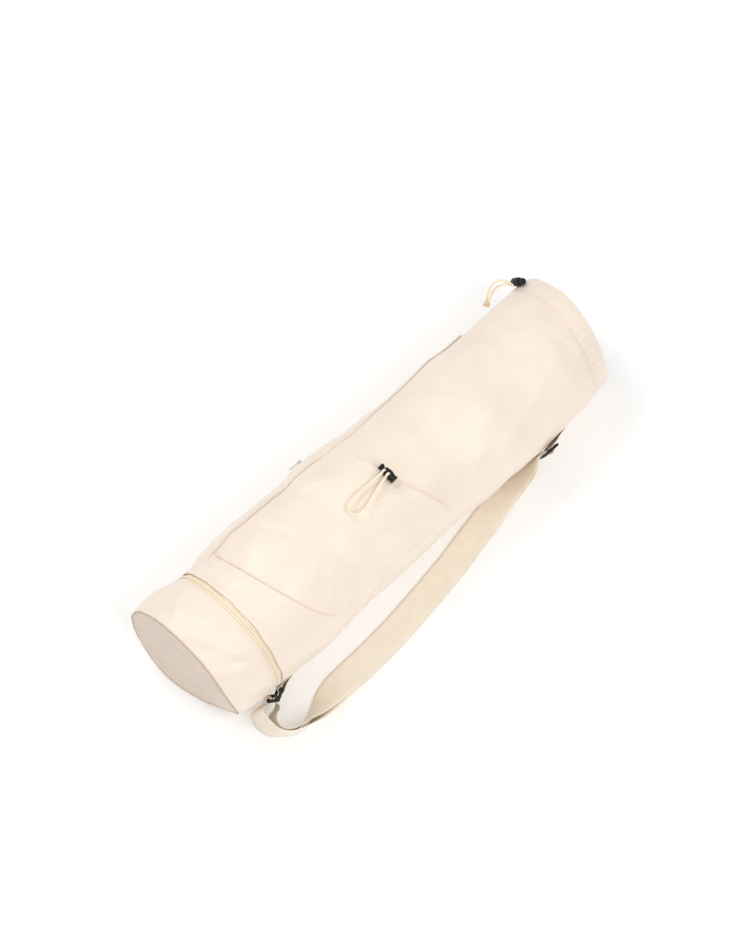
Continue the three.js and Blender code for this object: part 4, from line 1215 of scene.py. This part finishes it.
def make_side_slider():
    seat = seat_on(*SIDE_SLIDER)
    pin_line, pin_height = -2.5, 3.3
    ear_height = pin_height + 1.3
    parts = [block("slider_base", (4, 5, 0.8), (0, 0, 0), 0.5)]
    for side in (-1, 1):
        middle = (side * 3.35, pin_line, ear_height / 2)
        parts.append(block("slider_ear", (0.55, 1.5, ear_height / 2), middle, 0.25))
    parts.append(rod("slider_pin", 0.8, 6.7, (0, pin_line, pin_height)))
    bpy.context.view_layer.update()
    slider = place_by(fuse("side_slider", *parts), seat)
    smooth_by_angle(slider)
    finished(slider, METAL, "silver_metal", "side_zip_slider")

    lean = Matrix.Rotation(math.radians(3), 4, "X")
    turn = Matrix.Translation((0, pin_line * MM, pin_height * MM)) @ lean
    turns = np.linspace(0, 2 * math.pi, 24, endpoint=False)
    ring = [(r * math.cos(t), r * math.sin(t)) for r in (2.2, 1.2) for t in turns]
    eye = plate("pull_eye", [ring[:24], ring[24:]], 5, 0.25)
    eye.matrix_basis = turn @ Matrix.Rotation(math.pi / 2, 4, "Y")
    outline = rounded_box_outline(2.5, 8, 2.2, middle=(0, 9.7))
    hole = rounded_box_outline(1.1, 2.4, 1.05, middle=(0, 13.4))
    stem = plate("pull_stem", [outline, hole], 1.2, 0.35)
    stem.matrix_basis = turn
    bpy.context.view_layer.update()
    pull = place_by(fuse("side_pull", eye, stem), seat)
    smooth_by_angle(pull)
    return finished(pull, METAL, "silver_metal", "side_zip_pull", body="zip_pull")


def make_round_slider():
    parts = [
        block("base", (5, 4, 0.8), (0, 0, 0), 0.5),
        block("bridge", (3, 0.6, 1.5), (0, 0, 2), 0.3),
        block("tag", (8, 2.5, 0.6), (7, 0, 2.4), 0.3),
    ]
    bpy.context.view_layer.update()
    slider = place_by(fuse("round_slider", *parts), seat_on(*ROUND_SLIDER))
    smooth_by_angle(slider)
    return finished(slider, METAL, "silver_metal", "shoe_zip_slider")


# Cords: the routes repeat those of the part's source, in millimetres
CORD_DIAMETER = 3.1
KNOT_CORD_DIAMETER = 4.2
POCKET_CORD = [
    (-15.7, -21.5, 194.2),
    (-24, -21, 192.5),
    (-34, -20.5, 191.3),
    (-46, -20, 191.3),
    (-58, -20.5, 191.9),
    (-68, -22, 192.3),
    (-76, -25, 192.2),
    (-80, -30, 191.6),
    (-79, -35.5, 190.6),
    (-73.5, -39.5, 189.5),
    (-64, -40.5, 189),
    (-52, -37.5, 188.8),
    (-40, -34, 189),
    (-28, -30.5, 190.2),
    (-15.7, -28.5, 192.6),
]
MOUTH_CORD_OUTER = [
    (313.3, 70.5, 133),
    (310, 76.5, 138.5),
    (305, 83, 142),
    (299, 88.5, 139),
    (294.2, 91.5, 130),
    (290.6, 92.2, 120),
    (287.6, 91.6, 112.2),
    (285.2, 90.3, 106),
]
MOUTH_CORD_INNER = [
    (314.5, 73, 129.6),
    (309.3, 79, 131.8),
    (303.2, 84, 130),
    (297.2, 87, 124),
    (291.8, 88, 116.2),
    (287.4, 87.3, 110.6),
    (284.6, 86.5, 106.5),
]
KNOT = (283.8, 88.4, 100.6)


def tube_points(route, diameter, step=0.8, sides=14):
    t, length = even_t(route, step)
    centre = catmull(route, t)
    way = unit(np.gradient(centre, axis=0))
    side = unit(np.cross(way[0], (0.2, 0.3, 0.9)))
    rings = []
    for point, ahead in zip(centre, way):
        side = unit(side - ahead * np.dot(side, ahead))
        up = np.cross(ahead, side)
        turns = np.linspace(0, 2 * math.pi, sides, endpoint=False)
        rings.append(point + diameter / 2 * (np.cos(turns)[:, None] * side + np.sin(turns)[:, None] * up))
    run = np.linspace(0, length, len(centre))
    around = np.arange(sides) * math.pi * diameter / sides
    uv = np.stack(np.broadcast_arrays(around[None, :], run[:, None]), -1)
    return np.array(rings), uv, centre, length


def make_cord(name, route, node):
    points, uv, centre, length = tube_points(route, CORD_DIAMETER)
    cord = finished(swept_object(name, points, uv), CORD, "cord", node)
    return cord


def make_lock_strands():
    """Short strands over the barrel, from the loop's ends to the hole on top"""
    axis = seat_on(*POCKET_LOCK)[:3, 3]
    hug = BARREL_RADIUS + CORD_DIAMETER / 2 - 0.2
    for side, start in (("left", POCKET_CORD[0]), ("right", POCKET_CORD[-1])):
        turns = np.radians(np.linspace(158, 112, 6))
        route = [(axis[0] + hug * math.cos(t), start[1], axis[2] + hug * math.sin(t)) for t in turns]
        route.append((axis[0] - 0.8, start[1], axis[2] + hug - 2.2))
        points, uv, *_ = tube_points(route, CORD_DIAMETER)
        finished(swept_object(f"lock_strand_{side}", points, uv), CORD, "cord")


def make_knot():
    """Overhand knot: a trefoil of the cord, drawn tight and taller than wide; its colour is a darker copy
    of the cord's, painted shade in the knot
    """
    turns = np.linspace(0, 2 * math.pi, 40)
    route = [(KNOT[0] + 1.7 * (math.sin(t) + math.sin(2 * t)),
              KNOT[1] + 1.6 * (math.cos(t) - math.cos(2 * t)),
              KNOT[2] - 2.4 * math.sin(3 * t)) for t in turns]
    points, uv, *_ = tube_points(route, KNOT_CORD_DIAMETER, 0.6, 12)
    knot = grid_object("cord_knot", points, uv, close_columns=True)
    return finished(knot, SHADED_KNOT_CORD, "cord", "mouth_cord_knot")


def make_cords():
    make_cord("pocket_loop", POCKET_CORD, "pocket_cord")
    make_lock_strands()
    knot = make_knot()
    make_cord("mouth_strand_outer", MOUTH_CORD_OUTER, "mouth_cord_outer")
    make_cord("mouth_strand_inner", MOUTH_CORD_INNER, "mouth_cord_inner")


# Camera, floor and soft light
def aim(thing, target):
    way = Vector(target) - thing.location
    thing.rotation_euler = way.to_track_quat("-Z", "Y").to_euler()


def make_camera():
    camera = bpy.data.objects.new("camera", bpy.data.cameras.new("camera"))
    scene.collection.objects.link(camera)
    back = unit(np.array(CAMERA_BACK))
    right = unit(np.array(CAMERA_RIGHT))
    up = np.cross(back, right)
    matrix = np.eye(4)
    matrix[:3, 0], matrix[:3, 1], matrix[:3, 2] = right, up, back
    matrix[:3, 3] = (np.array(CAMERA_TARGET) + back * CAMERA_DISTANCE) * MM
    camera.matrix_world = Matrix(matrix.tolist())
    camera.data.lens = CAMERA_LENS
    camera.data.sensor_fit = "VERTICAL"
    camera.data.sensor_height = 36
    camera.data.clip_end = 50
    scene.camera = camera


def add_light(name, place, size, power):
    data = bpy.data.lights.new(name, "AREA")
    data.shape = "DISK"
    data.size = size
    data.energy = power
    data.color = LIGHT_COLOR
    light = bpy.data.objects.new(name, data)
    light.location = place
    scene.collection.objects.link(light)
    aim(light, LIGHT_TARGET)


def make_studio():
    corners = [(x * FLOOR_HALF, y * FLOOR_HALF, 0) for x, y in ((-1, -1), (1, -1), (1, 1), (-1, 1))]
    floor = make_object("floor", corners, [(0, 1, 2, 3)], smooth=False)
    paper, nodes, links, shader = new_material("paper", (0.9, 0.9, 0.9), 0.9)
    shader.inputs["Emission Color"].default_value = (1, 1, 1, 1)
    shader.inputs["Emission Strength"].default_value = PAPER_GLOW
    floor.data.materials.append(paper)
    world = bpy.data.worlds.new("world")
    world.use_nodes = True
    background = world.node_tree.nodes["Background"]
    background.inputs["Color"].default_value = (1, 1, 1, 1)
    background.inputs["Strength"].default_value = WORLD_STRENGTH
    scene.world = world
    add_light("key", *KEY_LIGHT)
    add_light("back", *BACK_LIGHT)
    scene.view_settings.view_transform = "Standard"
    scene.view_settings.look = "None"


make_camera()
make_cords()
make_body()
make_cup()
make_base()
make_base_seam()
make_hem()
make_zips()
make_placket()
make_pocket()
make_all_stitches()
make_straps()
make_strap_slider()
make_ring()
make_side_slider()
make_round_slider()
make_lock("pocket", *POCKET_LOCK, 0)
make_lock("mouth", *MOUTH_LOCK, math.pi)
make_studio()
